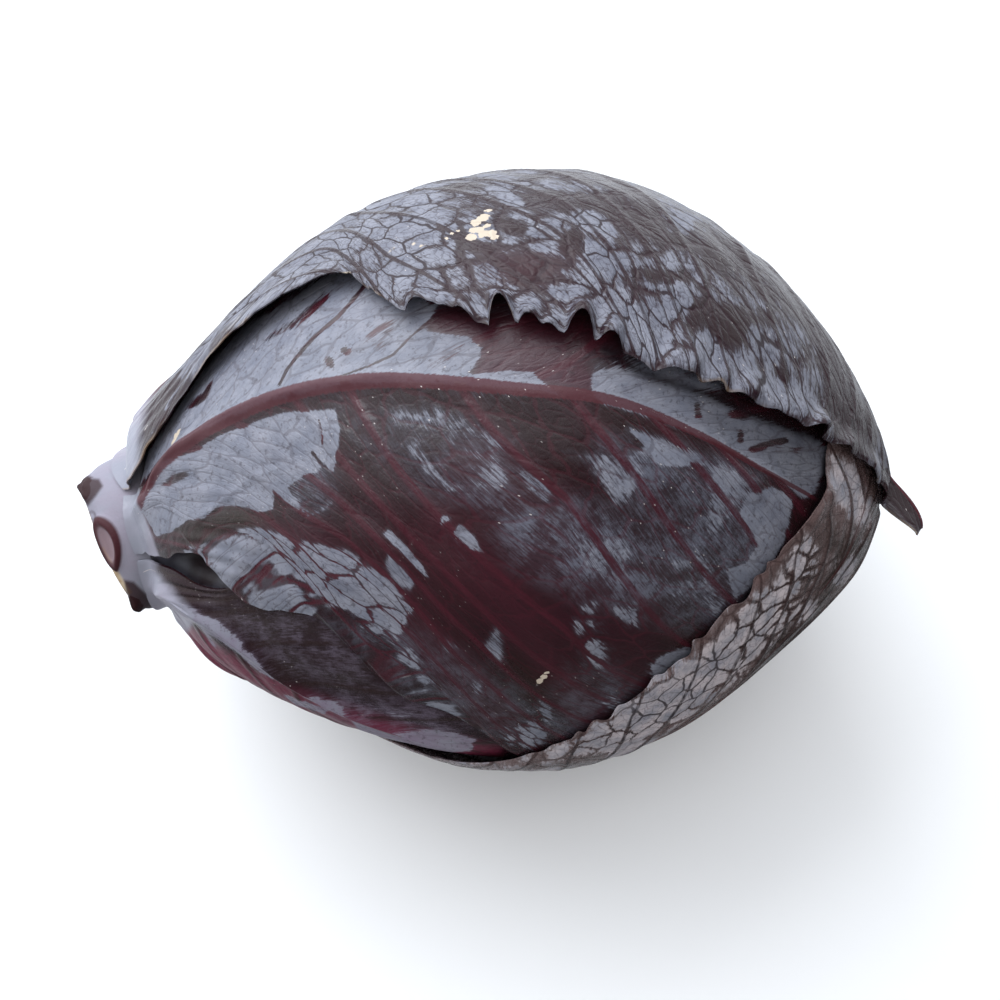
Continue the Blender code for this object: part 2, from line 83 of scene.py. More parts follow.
BACK_LEAF_EDGE = (
    (20, 6), (27, 1.5), (32, 2), (36, 9.5), (41, 15), (46, 20), (53, 21), (60, 20.5), (66, 18.5), (69, 13),
    (73, 6), (78, 4), (84, 1), (90, -1), (102, -6), (110, -8), (120, -11), (133, -15.5), (149.5, -22),
    (161, -64),
)
BACK_LEAF_FAR_EDGE = (
    (20, 129), (28, 130), (38, 137), (52, 144), (78, 150), (104, 153), (130, 160), (152, 174), (168, 210),
    (167, 286),
)
TIP_LEAF_EDGE = (
    (20, -132), (30, -128), (45, -127), (56, -126), (66, -118), (75, -107), (81, -97), (88, -84),
    (92, -77.5), (97, -71.5), (104, -64.5), (112, -56.5), (119, -50.5), (125, -43.2), (129, -37),
    (134, -30.2), (136.5, -24), (137, -17), (140, -4.5), (146, 9),
)
TIP_EDGE_TURNS = 7
FRONT_LEAF_LOW_EDGE = (
    (20, -39), (30, -42), (36, -43), (40.5, -40), (45, -41.5), (48.5, -49.5), (53.5, -56), (61, -55),
    (65, -58.5), (69, -66), (73, -72), (78, -74), (82, -80), (86, -90), (94, -100), (112, -95), (130, -82),
    (145, -60),
)

# Each leaf: the solids' facts, then the fine grid (rows and columns, and how dense the rows are along the
# midrib) and the side veins as {side: (how many, or the shares where they leave the midrib, lean)}
LEAVES = {
    "low_leaf": {
        "layer": 1,
        "midrib": (
            (20, -70), (28, -63), (36, -61), (43, -65), (48, -69), (52, -73), (56, -77.5), (61, -82),
            (66, -85.5), (72, -88), (80, -91), (90, -96), (104, -102), (128, -105),
        ),
        "high_edge": (
            (20, -45), (28, -48), (37, -50), (43, -54), (48, -53), (53, -47), (58, -42), (68, -38), (88, -42),
            (108, -60), (124, -83), (130, -100),
        ),
        "low_edge": (
            (20, -126), (28, -121), (38, -118), (49, -121), (58, -129), (70, -140), (92, -148), (116, -138),
            (129, -114),
        ),
        "sweep": 0.5, "rib": (4.4, 8.5), "rib_end": (1.2, 3.0), "rib_fade": 0.75, "tail": 0.0,
        "rows": 250, "columns": 170, "dense": ((0.0, 1.0), (0.12, 1.6), (0.5, 1.6), (0.7, 0.5), (1.0, 0.4)),
        "laterals": {1: (12, 0.10), -1: (10, 0.10)},
    },
    "front_leaf": {
        "layer": 2,
        "midrib": (
            (20, -15.5), (27, -11), (33, -5), (40, -1), (54, -2.5), (72, -6), (85, -9), (98, -11.5),
            (111, -17), (121, -23), (133, -31), (147, -48),
        ),
        "high_edge": (
            (20, 1), (27, -3.5), (31, 6.5), (36, 30), (45, 46), (54, 58), (78, 62), (104, 50), (128, 22),
            (144, -12), (148.5, -40),
        ),
        "low_edge": FRONT_LEAF_LOW_EDGE + ((148, -54),),
        "sweep": 0.7, "rib": (3.0, 7.0), "rib_end": (0.2, 1.6), "rib_fade": 1.0, "tail": 0.0,
        "rows": 350, "columns": 215, "dense": ((0.0, 1.0), (0.2, 1.3), (0.6, 1.0), (1.0, 0.8)),
        "laterals": {
            1: (13, 0.16),
            -1: ((0.0, 0.09, 0.17, 0.235, 0.30, 0.352, 0.445, 0.53, 0.62, 0.71, 0.8, 0.9), 0.36),
        },
        "hugs": {-1: 0.5},
    },
    "tip_leaf": {
        "layer": 3,
        "midrib": (
            (20, -165), (30, -160), (50, -150), (80, -130), (104, -108), (120, -90), (133, -75),
            (147, -58), (152, -34), (148, -8),
        ),
        "high_edge": TIP_LEAF_EDGE,
        "low_edge": (
            (20, 135), (28, 136), (38, 131), (52, 129), (80, 130), (108, 128), (134, 122), (154, 98),
            (163, 44), (151, 10),
        ),
        "sweep": 0.5, "rib": (2.6, 6.5), "rib_end": (0.3, 1.4), "rib_fade": 0.9, "tail": 0.0,
        "rows": 360, "columns": 210, "dense": ((0.0, 0.8), (0.35, 1.0), (0.45, 1.7), (0.85, 1.7), (1.0, 1.0)),
        "laterals": {1: (13, 0.12), -1: (12, 0.12)}, "hugs": {1: 0.55},
    },
    "back_leaf": {
        "layer": 4,
        "midrib": (
            (20, 66), (28, 70), (42, 76), (62, 82), (90, 84), (122, 78), (148, 60), (164, 20), (166, -68),
        ),
        "high_edge": BACK_LEAF_FAR_EDGE,
        "low_edge": BACK_LEAF_EDGE,
        "sweep": 0.6, "rib": (3.0, 7.0), "rib_end": (0.4, 1.6), "rib_fade": 0.9, "tail": 8.8,
        "rows": 366, "columns": 210,
        "dense": ((0.0, 0.9), (0.2, 1.2), (0.24, 2.4), (0.48, 2.4), (0.55, 1.0), (1.0, 1.0)),
        "laterals": {
            1: (14, 0.16),
            -1: (
                (0.0, 0.06, 0.12, 0.17, 0.225, 0.262, 0.31, 0.363, 0.458, 0.54, 0.62, 0.70, 0.79, 0.88),
                0.20,
            ),
        },
    },
}
VEIN_ARCH = 0.10
LEAN_POWER = 1.35
RIDGE_WIDTH = (1.5, 0.8)  # mm, at the midrib and at the edge
RIDGE_HEIGHT = {  # mm, at the midrib and at the edge
    "low_leaf": (0.3, 0.2), "front_leaf": (0.40, 0.20), "tip_leaf": (0.6, 0.25), "back_leaf": (0.7, 0.35),
}
PUCKER = 0.32 * MM

# Waves in the edges: (leaf, side, first and last share of the edge, wave, rise, height and pull-in in mm)
RUFFLES = (
    ("back_leaf", -1, 0.33, 0.72, 60.0, 1.2, 0.0, 0.0),
    ("back_leaf", -1, 0.66, 0.98, 21.0, 1.0, 1.0, 0.8),
    ("back_leaf", -1, 0.16, 0.36, 60.0, 2.0, 0.4, 0.4),
    ("back_leaf", 1, 0.12, 0.92, 17.0, 0.8, 1.4, 1.6),
    ("tip_leaf", 1, 0.46, 0.82, 8.0, 0.1, 0.7, 1.2),
    ("tip_leaf", 1, 0.77, 0.97, 26.0, 2.8, 0.6, 0.8),
    ("front_leaf", -1, 0.20, 0.50, 13.0, 0.0, 0.5, 0.8),
    ("low_leaf", -1, 0.03, 0.40, 40.0, 2.6, 0.4, 0.0),
)
RUFFLE_DEPTH = 11.0 * MM
RUFFLE_EASE = 0.05
RUFFLE_RUN = 3.6 * HEAD_WIDTH / 2 / MM

# Crimped arches in the edges: (leaf, side, middle as a share of the edge, half-width, pull-in and lift, mm)
ARCHES = (
    ("back_leaf", -1, 0.3560, 1.6, 0.9, 0.6), ("back_leaf", -1, 0.4070, 3.0, 2.2, 1.5),
    ("back_leaf", -1, 0.4210, 2.2, 1.2, 0.9), ("back_leaf", -1, 0.4350, 2.0, 1.6, 1.4),
    ("back_leaf", -1, 0.4610, 2.3, 5.6, 3.2), ("back_leaf", -1, 0.4790, 1.9, 1.6, 1.9),
    ("back_leaf", -1, 0.4910, 1.4, 0.5, 0.9), ("back_leaf", -1, 0.5140, 3.2, 4.6, 3.2),
    ("back_leaf", -1, 0.5410, 2.9, 2.3, 2.2), ("back_leaf", -1, 0.6020, 5.0, 1.3, 2.0),
    ("back_leaf", -1, 0.6380, 3.0, 0.8, 0.9), ("back_leaf", -1, 0.6680, 3.6, 0.6, 0.8),
    ("back_leaf", -1, 0.7540, 3.2, 2.0, 2.2), ("back_leaf", -1, 0.8020, 4.0, 0.7, 0.8),
    ("tip_leaf", 1, 0.5660, 3.2, 0.5, 0.5), ("tip_leaf", 1, 0.6480, 3.8, 0.9, 0.9),
    ("tip_leaf", 1, 0.7230, 3.4, 0.7, 0.8), ("tip_leaf", 1, 0.7800, 4.4, 0.8, 0.5),
    ("front_leaf", -1, 0.2850, 5.0, 1.0, 0.3), ("front_leaf", -1, 0.4180, 5.0, 0.9, 0.3),
)
# How far an edge stands inside (+) or outside (-) its line, in mm, as (share, mm)
EDGE_SHIFT = {
    ("back_leaf", -1): (
        (0.16, 0.0), (0.28, -1.6), (0.315, -0.6), (0.324, 1.4), (0.345, 0.3), (0.396, 0.0), (0.43, 0.0),
        (0.452, -2.2), (0.475, 0.4), (0.50, -1.0), (0.53, 0.2), (0.56, 0.0), (0.58, -1.4), (0.62, 0.0),
        (0.9, 0.2),
    ),
}
# Fine teeth in the edges: (depth, wave) in mm
TEETH = {("back_leaf", -1): (0.45, 2.2), ("tip_leaf", 1): (0.40, 2.6), ("front_leaf", -1): (0.35, 2.4)}
EDGE_LENGTH = 257.0  # mm
ARCH_DEPTH = 1.7  # how far an arch's lift reaches into the leaf, in half-widths

HEART_EDGES = ((-60, 26, 0.45), (60, -22, 0.4), (150, 30, 0.45))
HEART_RIBS = (-150, -95, -40, 20, 75, 130)
HEART_RIB_HEIGHT, HEART_SET_IN = 0.3 * MM, 0.9 * MM
POCKET = (41.0, -48.0, 8.5, 9.0, 6.5)
STALK_STUBS = ((8.5, 27.0, 4.5, 15.0, 2.2), (12.0, -79.0, 3.8, 12.0, 3.2), (12.0, 132.0, 4.0, 14.0, 2.4))
STALK_SCAR = (9.5, -25.0, 5.5, 18.0, 1.0)
SCAR_RIM = 0.35

# The fine form of the leaves
COLUMN_DENSITY = ((0.0, 2.0), (0.15, 1.0), (0.8, 1.0), (0.93, 2.2), (1.0, 3.0))
HUG_REACH = 7.0  # mm from the edge
VEIN_WOBBLE = 0.10
VEIN_GAPS = (2.0, 40.0)  # mm, the least and the most between side veins
RIB_BROAD, RIB_SHARP, RIB_SHARP_WIDTH = 0.55, 0.40, 0.42
BLISTER = 0.16 * MM
EDGE_THINNED, EDGE_THIN_REACH = 0.6 * BLADE, 3.0  # the reach in mm
INNER_STEP = 4  # columns of the outer grid for one of the inner grid
SHARP_FROM = math.radians(60)


def smooth(low, high, value):
    """0 at low, 1 at high, and an easy curve between."""
    share = np.clip((value - low) / (high - low), 0.0, 1.0)
    return share * share * (3.0 - 2.0 * share)


def bump(alpha, phi, spot):
    """1 at a spot (alpha, phi, reach along, reach round, ...), fading to 0, for angles in degrees."""
    turned = (phi - spot[1] + 180.0) % 360.0 - 180.0
    return np.exp(-(((alpha - spot[0]) / spot[2]) ** 2) - (turned / spot[3]) ** 2)


def profile(alpha):
    """The egg's outline: distance along the axis from its widest place, and radius."""
    cosine = np.cos(alpha)
    stalk_side = cosine > 0
    reach = HEAD_LENGTH * np.where(stalk_side, WIDEST_AT, 1.0 - WIDEST_AT)
    inner = np.where(stalk_side, STALK_END_POWERS[0], TIP_END_POWERS[0])
    outer = np.where(stalk_side, STALK_END_POWERS[1], TIP_END_POWERS[1])
    x = STALK_CUT_SHORT * smooth(math.radians(42), math.radians(15), alpha) - reach * cosine
    radius = HEAD_WIDTH / 2 * (1.0 - np.clip(np.abs(x) / reach, 0.0, 1.0) ** inner) ** outer
    stalk = STALK_RADIUS * smooth(math.radians(70), math.radians(20), alpha)
    return x, (radius**STALK_BLEND + stalk**STALK_BLEND) ** (1.0 / STALK_BLEND)


def surface(alpha_deg, phi_deg, offset):
    """The point at these angles, that far outside the egg's surface, once the head is bent and set down."""
    alpha, phi = np.radians(alpha_deg), np.radians(phi_deg)
    step, end = 2e-3, 1e-4
    x, radius = profile(alpha)
    x_before, r_before = profile(np.clip(alpha - step, end, math.pi - end))
    x_after, r_after = profile(np.clip(alpha + step, end, math.pi - end))
    run, rise = x_after - x_before, r_after - r_before
    slant = np.hypot(run, rise)
    for height, along, around, phase in SWELLS:
        wave = np.sin(along * alpha + phase) * np.cos(around * phi + phase) * np.sin(alpha) ** 2
        offset = offset + height * MM * wave
    for bulge in BULGES:
        offset = offset + bulge[4] * MM * bump(alpha_deg, phi_deg, bulge)
    x = x - offset * rise / slant
    radius = radius + offset * run / slant
    share = (x + HEAD_LENGTH * WIDEST_AT) / HEAD_LENGTH
    bend = np.clip(1.0 - share / BEND_REACH, 0.0, None) ** 2
    side, up = radius * np.sin(phi), radius * np.cos(phi)
    towards_bend = (side * BEND_Y + up * BEND_Z) / math.hypot(BEND_Y, BEND_Z)
    slant_here = CUT_SLANT * np.clip(1.0 - (x - STALK_CUT_X) / CUT_SLANT_REACH, 0.0, 1.0) ** 2
    tipwards = np.clip((share - TIP_RISE_FROM) / (1.0 - TIP_RISE_FROM), 0.0, None)
    lift = TIP_RISE * tipwards - TIP_DROP * tipwards**TIP_DROP_POWER
    y = side + BEND_Y * bend + lift
    z = AXIS_HEIGHT + up + BEND_Z * bend
    floor = np.maximum(REST_OFFSET - offset, 0.0)
    return np.stack([x + slant_here * towards_bend, y, np.maximum(z, floor)], axis=-1)


def direction(alpha_deg, phi_deg):
    alpha, phi = np.radians(alpha_deg), np.radians(phi_deg)
    return np.stack([-np.cos(alpha), np.sin(alpha) * np.sin(phi), np.sin(alpha) * np.cos(phi)], axis=-1)


def angles(vector):
    vector = vector / np.linalg.norm(vector, axis=-1, keepdims=True)
    alpha = np.degrees(np.arccos(np.clip(-vector[..., 0], -1.0, 1.0)))
    return alpha, np.degrees(np.arctan2(vector[..., 1], vector[..., 2]))


def curve(places):
    """A smooth curve of directions through these places, as a function of the share of its length."""
    knots = direction(*np.array(places, float).T)
    knots = np.vstack([2 * knots[0] - knots[1], knots, 2 * knots[-1] - knots[-2]])
    fine = np.linspace(0.0, 1.0, 16, endpoint=False)[:, None]
    points = []
    for before, start, end, after in zip(knots, knots[1:], knots[2:], knots[3:]):
        points.append(
            start
            + 0.5 * fine * (end - before)
            + fine**2 * (before - 2.5 * start + 2 * end - 0.5 * after)
            + fine**3 * (1.5 * (start - end) + 0.5 * (after - before))
        )
    points = np.vstack([*points, knots[-2:-1]])
    points /= np.linalg.norm(points, axis=1, keepdims=True)
    length = np.concatenate([[0.0], np.cumsum(np.linalg.norm(np.diff(points, axis=0), axis=1))])
    share = length / length[-1]
    return lambda where: np.stack([np.interp(where, share, points[:, axis]) for axis in range(3)], axis=-1)


def core_offset(alpha):
    """How far under the egg's surface the stalk and the heart lie."""
    return HEART_OFFSET * smooth(STALK_FULL_TO, LAYERS_FROM - 3.0, alpha)


WAVES = 14


def noise2(seed, u, v):
    """Smooth random waves over two coordinates, about -1 to 1, the same each run."""
    random = np.random.default_rng(seed)
    total = np.zeros_like(u)
    for _ in range(WAVES):
        turn = random.uniform(0, 2 * math.pi)
        rate = random.uniform(0.6, 1.6)
        total += np.sin(rate * (u * math.cos(turn) + v * math.sin(turn)) + random.uniform(0, 2 * math.pi))
    return total / math.sqrt(WAVES)


# Long creases: (leaf, (alpha, phi, reach along, reach round), turn of phi per alpha, wave in degrees,
# height in mm)
CREASES = (
    ("front_leaf", (48.0, 12.0, 9.0, 7.0), 0.9, 4.2, 0.22),
    ("front_leaf", (47.0, -42.0, 8.0, 8.0), -0.4, 4.5, 0.20),
    ("back_leaf", (44.0, 30.0, 10.0, 16.0), 0.5, 9.0, 0.30),
)


class Leaf:
    """One wrapper leaf. A place on it is (a, b): a along the midrib, b from -1 over 0 at the midrib to 1."""

    def __init__(self, name, facts):
        self.name = name
        self.facts = facts
        self.midrib = curve(facts["midrib"])
        self.edges = {1: curve(facts["high_edge"]), -1: curve(facts["low_edge"])}

    def swept(self, a):
        return a + self.facts["sweep"] * a * (1.0 - a)

    def place(self, a, b):
        """The direction of (a, b): along a vein that leaves the midrib and sweeps forward to the edge."""
        swept = self.swept(a)
        start = self.midrib(a)
        end = np.where((b > 0)[..., None], self.edges[1](swept), self.edges[-1](swept))
        start /= np.linalg.norm(start, axis=-1, keepdims=True)
        end /= np.linalg.norm(end, axis=-1, keepdims=True)
        width = np.arccos(np.clip((start * end).sum(-1), -1.0, 1.0))
        share = np.abs(b)
        point = (
            np.sin((1.0 - share) * width)[..., None] * start + np.sin(share * width)[..., None] * end
        ) / np.sin(width)[..., None]
        ahead = self.midrib(np.minimum(a + 0.02, 1.0)) - self.midrib(np.maximum(a - 0.02, 0.0))
        ahead /= np.linalg.norm(ahead, axis=-1, keepdims=True)
        return point + (VEIN_ARCH * np.sin(math.pi * share) * np.sin(math.pi * a))[..., None] * ahead

    def half_width(self, a, side):
        """The distance in metres from the midrib to that edge, roughly."""
        ends = self.place(a, np.full_like(a, side * 1.0))
        alpha, phi = angles(self.midrib(a))
        alpha_end, phi_end = angles(ends)
        straight = np.linalg.norm(surface(alpha, phi, 0.0) - surface(alpha_end, phi_end, 0.0), axis=-1)
        chord_share = np.clip(straight / HEAD_WIDTH, 0.0, 0.97)
        return HEAD_WIDTH * np.arcsin(chord_share)

    def rib(self, a):
        """The midrib's height and half-width, in metres."""
        height, width = (
            start + (end - start) * np.minimum(a / self.facts["rib_fade"], 1.0) ** 0.7
            for start, end in zip(self.facts["rib"], self.facts["rib_end"])
        )
        return height * MM, width * MM

    def uncovered(self, alpha, phi):
        """1 where nothing lies on this leaf, 0 where another leaf covers it."""
        if self.name == "back_leaf":
            return np.ones_like(alpha)
        if self.name == "low_leaf":
            front_edge = np.interp(alpha, *np.array(FRONT_LEAF_LOW_EDGE, float).T)
            tip_edge = np.interp(alpha, *np.array(TIP_LEAF_EDGE[:TIP_EDGE_TURNS], float).T)
            free = smooth(front_edge - 3.0, front_edge - 9.0, phi) * smooth(83.0, 76.0, alpha)
            return free * smooth(tip_edge + 3.0, tip_edge + 10.0, phi)
        near_edge = np.interp(alpha, *np.array(BACK_LEAF_EDGE, float).T)
        far_edge = np.interp(alpha, *np.array(BACK_LEAF_FAR_EDGE, float).T)
        past = (phi - near_edge) % 360.0
        free = smooth(COVER_NEAR, COVER_FAR, np.minimum(past - (far_edge - near_edge), 360.0 - past))
        if self.name == "front_leaf":
            tip_edge = np.interp(phi, *np.array(TIP_LEAF_EDGE[TIP_EDGE_TURNS:], float).T[::-1])
            free = free * smooth(tip_edge - 5.0, tip_edge - 13.0, alpha)
        return free

    def ruffle(self, a, b, free):
        """How far the wavy edge lifts, and how far it is pulled in, in metres."""
        lift, pull = np.zeros_like(a), np.zeros_like(a)
        for name, side, first, last, wave, rise, height, depth in RUFFLES:
            if name != self.name:
                continue
            half = self.half_width(a, side)
            near = free * smooth(RUFFLE_DEPTH, 0.0, (1.0 - b * side) * half) * (b * side > 0)
            swept = self.swept(a)
            part = smooth(first, first + RUFFLE_EASE, swept) * smooth(last, last - RUFFLE_EASE, swept)
            run = swept * RUFFLE_RUN / wave
            beat = run + 0.23 * np.sin(1.7 * run) + 0.11 * np.sin(4.1 * run + 1.0)
            lift += near * part * (rise + height * (0.5 - 0.5 * np.cos(2 * math.pi * beat))) * MM
            pull += near * part * depth * MM * (0.5 - 0.5 * np.cos(2 * math.pi * beat + 0.9))
        swept = self.swept(a)
        for name, side, middle, half_width, depth, rise in ARCHES:
            if name != self.name:
                continue
            to_edge = (1.0 - b * side) * self.half_width(a, side) / MM
            on_side = free * (b * side > 0)
            arch = np.clip(1.0 - ((swept - middle) * EDGE_LENGTH / half_width) ** 2, 0.0, None)
            reach = ARCH_DEPTH * half_width
            lift += on_side * arch * rise * MM * np.exp(-((to_edge / reach) ** 2))
            pull += on_side * arch * depth * MM * np.exp(-((to_edge / (1.4 * reach)) ** 2))
        for side in (-1, 1):
            near = free * smooth(9.0, 0.0, (1.0 - b * side) * self.half_width(a, side) / MM) * (b * side > 0)
            if (self.name, side) in EDGE_SHIFT:
                table = np.array(EDGE_SHIFT[self.name, side]).T
                pull += near * np.interp(swept, *table) * MM
            if (self.name, side) in TEETH:
                depth, wave = TEETH[self.name, side]
                teeth = noise2(21, swept * EDGE_LENGTH / wave * 2.2, np.zeros_like(swept))
                pull += near**3 * depth * teeth * MM
        return lift, pull

    def side_veins(self, a, columns):
        """How many side veins come before each place, counted from the base, for rows a and columns b."""
        count = np.zeros((len(a), len(columns)))
        share = np.linspace(-0.05, 1.05, 500)
        for k, b in enumerate(columns):
            starts, lean = self.facts["laterals"][1 if b > 0 else -1]
            if isinstance(starts, int):
                starts = np.linspace(0.0, 1.0, starts + 1)[:-1] ** 1.15
            starts = np.append(starts, 1.0)
            leaning = lean * np.interp(share, (0.0, 0.2, 0.5, 1.0), (1.0, 1.0, 0.45, 0.0))
            at = np.interp(a, share + leaning * abs(b) ** LEAN_POWER, share)
            count[:, k] = np.interp(at, starts, np.arange(len(starts)))
        return count


def spaced(count, density):
    """Places from 0 to 1, closer together where the density is higher."""
    at = np.linspace(0.0, 1.0, 2001)
    weight = np.interp(at, *np.array(density, float).T)
    total = np.concatenate([[0.0], np.cumsum((weight[1:] + weight[:-1]) / 2)])
    return np.interp(np.linspace(0.0, total[-1], count), total, at)


def leaf_grid(name):
    """The leaf's outer and inner points on a fine grid, and what its material needs to know at each point."""
    facts = LEAVES[name]
    leaf = Leaf(name, facts)
    rows = spaced(facts["rows"], facts["dense"])
    half = spaced(facts["columns"] // 2 + 1, COLUMN_DENSITY)
    columns = np.concatenate([-half[::-1], half[1:]])
    a, b = np.meshgrid(rows, columns, indexing="ij")
    side = np.where(b > 0, 1, -1)
    width_here = np.where(side > 0, leaf.half_width(a, 1), leaf.half_width(a, -1))
    alpha0, phi0 = angles(leaf.place(a, b))
    free = leaf.uncovered(alpha0, phi0)
    lift, pull = leaf.ruffle(a, b, free)
    b_in = b * (1.0 - pull / np.maximum(width_here, 0.01))
    alpha, phi = angles(leaf.place(a, b_in))

    away = np.abs(b) * width_here
    to_edge = (1.0 - np.abs(b)) * width_here
    height, rib_width = leaf.rib(a)
    root = smooth(0.0, 0.10, a)
    settled = smooth(LEAVES_FROM, LAYERS_FROM, alpha)
    layer = (facts["layer"] - 4) * LAYER_PITCH - BLADE
    base = core_offset(alpha) + PIECE_GAP
    inner = base + (layer - HEART_OFFSET - PIECE_GAP) * settled + lift
    inner = inner + facts["tail"] * MM * smooth(0.92, 1.0, a)
    for hugging_side, hug in facts.get("hugs", {}).items():
        hugging = free * smooth(HUG_REACH, 0.0, to_edge / MM) * (side == hugging_side) * settled
        inner = inner - hug * MM * hugging

    smooth_points = surface(alpha, phi, inner)
    veins = leaf.side_veins(rows, columns)
    wobble = VEIN_WOBBLE * noise2(11, a * 40.0, b * 6.0) * smooth(0.0, 0.25, np.abs(b))
    phase = veins + wobble
    d_a, d_b = np.gradient(smooth_points, axis=0), np.gradient(smooth_points, axis=1)
    p_a, p_b = np.gradient(phase, axis=0), np.gradient(phase, axis=1)
    e, f, g = (d_a * d_a).sum(-1), (d_a * d_b).sum(-1), (d_b * d_b).sum(-1)
    area = np.maximum(e * g - f * f, 1e-16)
    slope = np.sqrt(np.maximum((g * p_a**2 - 2 * f * p_a * p_b + e * p_b**2) / area, 1.0))
    gap = np.clip(1.0 / slope / MM, *VEIN_GAPS)
    from_vein = np.abs(phase - np.round(phase)) * gap
    out_share = np.abs(b)
    ridge_width = RIDGE_WIDTH[0] + (RIDGE_WIDTH[1] - RIDGE_WIDTH[0]) * out_share
    ridge_height = RIDGE_HEIGHT[name][0] + (RIDGE_HEIGHT[name][1] - RIDGE_HEIGHT[name][0]) * out_share
    vein_part = smooth(0.02, 0.10, a) * smooth(1.0, 0.93, a) * smooth(0.0, 2.0, to_edge / MM)
    ridge = ridge_height * MM * np.exp(-((from_vein / ridge_width) ** 2)) * vein_part
    broad = np.exp(-((away / rib_width) ** 2))
    sharp = np.exp(-((away / (RIB_SHARP_WIDTH * rib_width)) ** 2))
    rib = height * (RIB_BROAD * broad + RIB_SHARP * sharp)
    blister = PUCKER * (0.5 - 0.5 * np.cos(2 * math.pi * phase)) * (1.0 - sharp) * vein_part
    blister = blister + BLISTER * noise2(5, phase * 5.0, away / MM / 3.5) * vein_part
    standing = np.maximum(rib, ridge * (1.0 - sharp)) + blister * free
    x, y, facing = seen_from_front(smooth_points)
    standing = standing + free * MM * marked(np.zeros_like(a), x, y, facing, MARKS[name].get("height", ()))
    for crease_leaf, centre, turn, wave, deep in CREASES:
        if crease_leaf == name:
            line = (phi - centre[1]) - turn * (alpha - centre[0])
            beat = line * 2 * math.pi / wave + 1.3 * noise2(31, alpha / 7.0, phi / 9.0)
            standing = standing + free * deep * MM * np.sin(beat) * bump(alpha, phi, centre)
    relief = free * standing + (1.0 - free) * np.clip(standing, 0.0, COVERED_RELIEF)
    thin = EDGE_THINNED * smooth(EDGE_THIN_REACH, 0.0, to_edge / MM)
    outer = inner + BLADE + relief * (0.25 + 0.75 * root)
    outer_points = surface(alpha, phi, outer)
    inner_points = surface(alpha, phi, inner + thin)
    facts_here = {
        "a": a, "b": b, "alpha": alpha, "phi": phi, "away": away / MM, "edge": to_edge / MM,
        "phase": phase, "gap": gap, "rib": away / rib_width, "seen": (x, y, facing),
    }
    return outer_points, inner_points, facts_here


def linked(name, data):
    """A new object with this data, in the scene."""
    obj = bpy.data.objects.new(name, data)
    bpy.context.scene.collection.objects.link(obj)
    return obj


def skin_object(name, points, faces, attributes, sharp_from=None):
    """An object with these points, kept inside the CAD's box, these faces and these values at its points."""
    mesh = bpy.data.meshes.new(name)
    mesh.from_pydata(np.clip(points, np.array(CAD_BOX[0]), np.array(CAD_BOX[1])).tolist(), [], faces)
    mesh.validate()
    for key, values in attributes.items():
        single = values.ndim == 1 or values.shape[1] == 1
        kind, field = ("FLOAT", "value") if single else ("FLOAT_VECTOR", "vector")
        mesh.attributes.new(key, kind, "POINT").data.foreach_set(field, values.ravel())
    mesh.shade_smooth()
    if sharp_from is not None:
        mesh.set_sharp_from_angle(angle=sharp_from)
    return linked(name, mesh)


def sheet_mesh(name, outer, inner, attributes):
    """A closed thin sheet: a fine outer grid, and an inner grid with fewer columns."""
    rows_n, columns_n = outer.shape[:2]
    last = columns_n - 1
    kept = sorted({0, 1, 2, 4, last - 4, last - 2, last - 1, last, *range(0, columns_n, INNER_STEP)})
    outer_ids = np.arange(rows_n * columns_n).reshape(rows_n, columns_n)
    inner_ids = rows_n * columns_n + np.arange(rows_n * len(kept)).reshape(rows_n, len(kept))

    def quads(ids):
        return np.stack([ids[:-1, :-1], ids[:-1, 1:], ids[1:, 1:], ids[1:, :-1]], axis=-1).reshape(-1, 4)

    faces = [*quads(outer_ids).tolist(), *quads(inner_ids)[:, ::-1].tolist()]
    for column, inner_column, turned in ((0, 0, False), (last, len(kept) - 1, True)):
        o, i = outer_ids[:, column], inner_ids[:, inner_column]
        strip = np.stack([o[:-1], o[1:], i[1:], i[:-1]], axis=-1)
        faces += (strip[:, ::-1] if turned else strip).tolist()
    for row, turned in ((0, True), (rows_n - 1, False)):
        for k in range(len(kept) - 1):
            along_outer = outer_ids[row, kept[k]:kept[k + 1] + 1].tolist()
            face = [*along_outer, int(inner_ids[row, k + 1]), int(inner_ids[row, k])]
            faces.append(face[::-1] if turned else face)
    points = np.vstack([outer.reshape(-1, 3), inner[:, kept].reshape(-1, 3)])
    flat = {}
    for key, values in attributes.items():
        values = np.asarray(values, np.float32)
        parts = values.reshape(rows_n * columns_n, -1), values[:, kept].reshape(rows_n * len(kept), -1)
        flat[key] = np.concatenate(parts)
    return skin_object(name, points, faces, flat, SHARP_FROM)


# The front view: where it looks from, its lens, and the sheet that the marks are laid down on
VIEW_LIFT = math.radians(68.0)
VIEW_BACK, VIEW_RIGHT = (0.0, -math.cos(VIEW_LIFT), math.sin(VIEW_LIFT)), (1.0, 0.0, 0.0)
VIEW_AIM, VIEW_DISTANCE = (-0.0134, -0.007, 0.070), 0.356
LENS, SENSOR = 50.0, 36.0
SHEET = 1000.0
VIEW_FACTOR = LENS / SENSOR * SHEET
VIEW_MM = 0.256  # mm on the head for one unit of the sheet
MARKS_FADE = (-0.30, -0.12)  # how far the skin is turned away where the marks end


def spots(alpha, phi, places):
    """The sum of these spots, each (alpha, phi, reach along, reach round, strength)."""
    total = np.zeros_like(alpha)
    for place in places:
        total = total + place[4] * bump(alpha, phi, place)
    return total


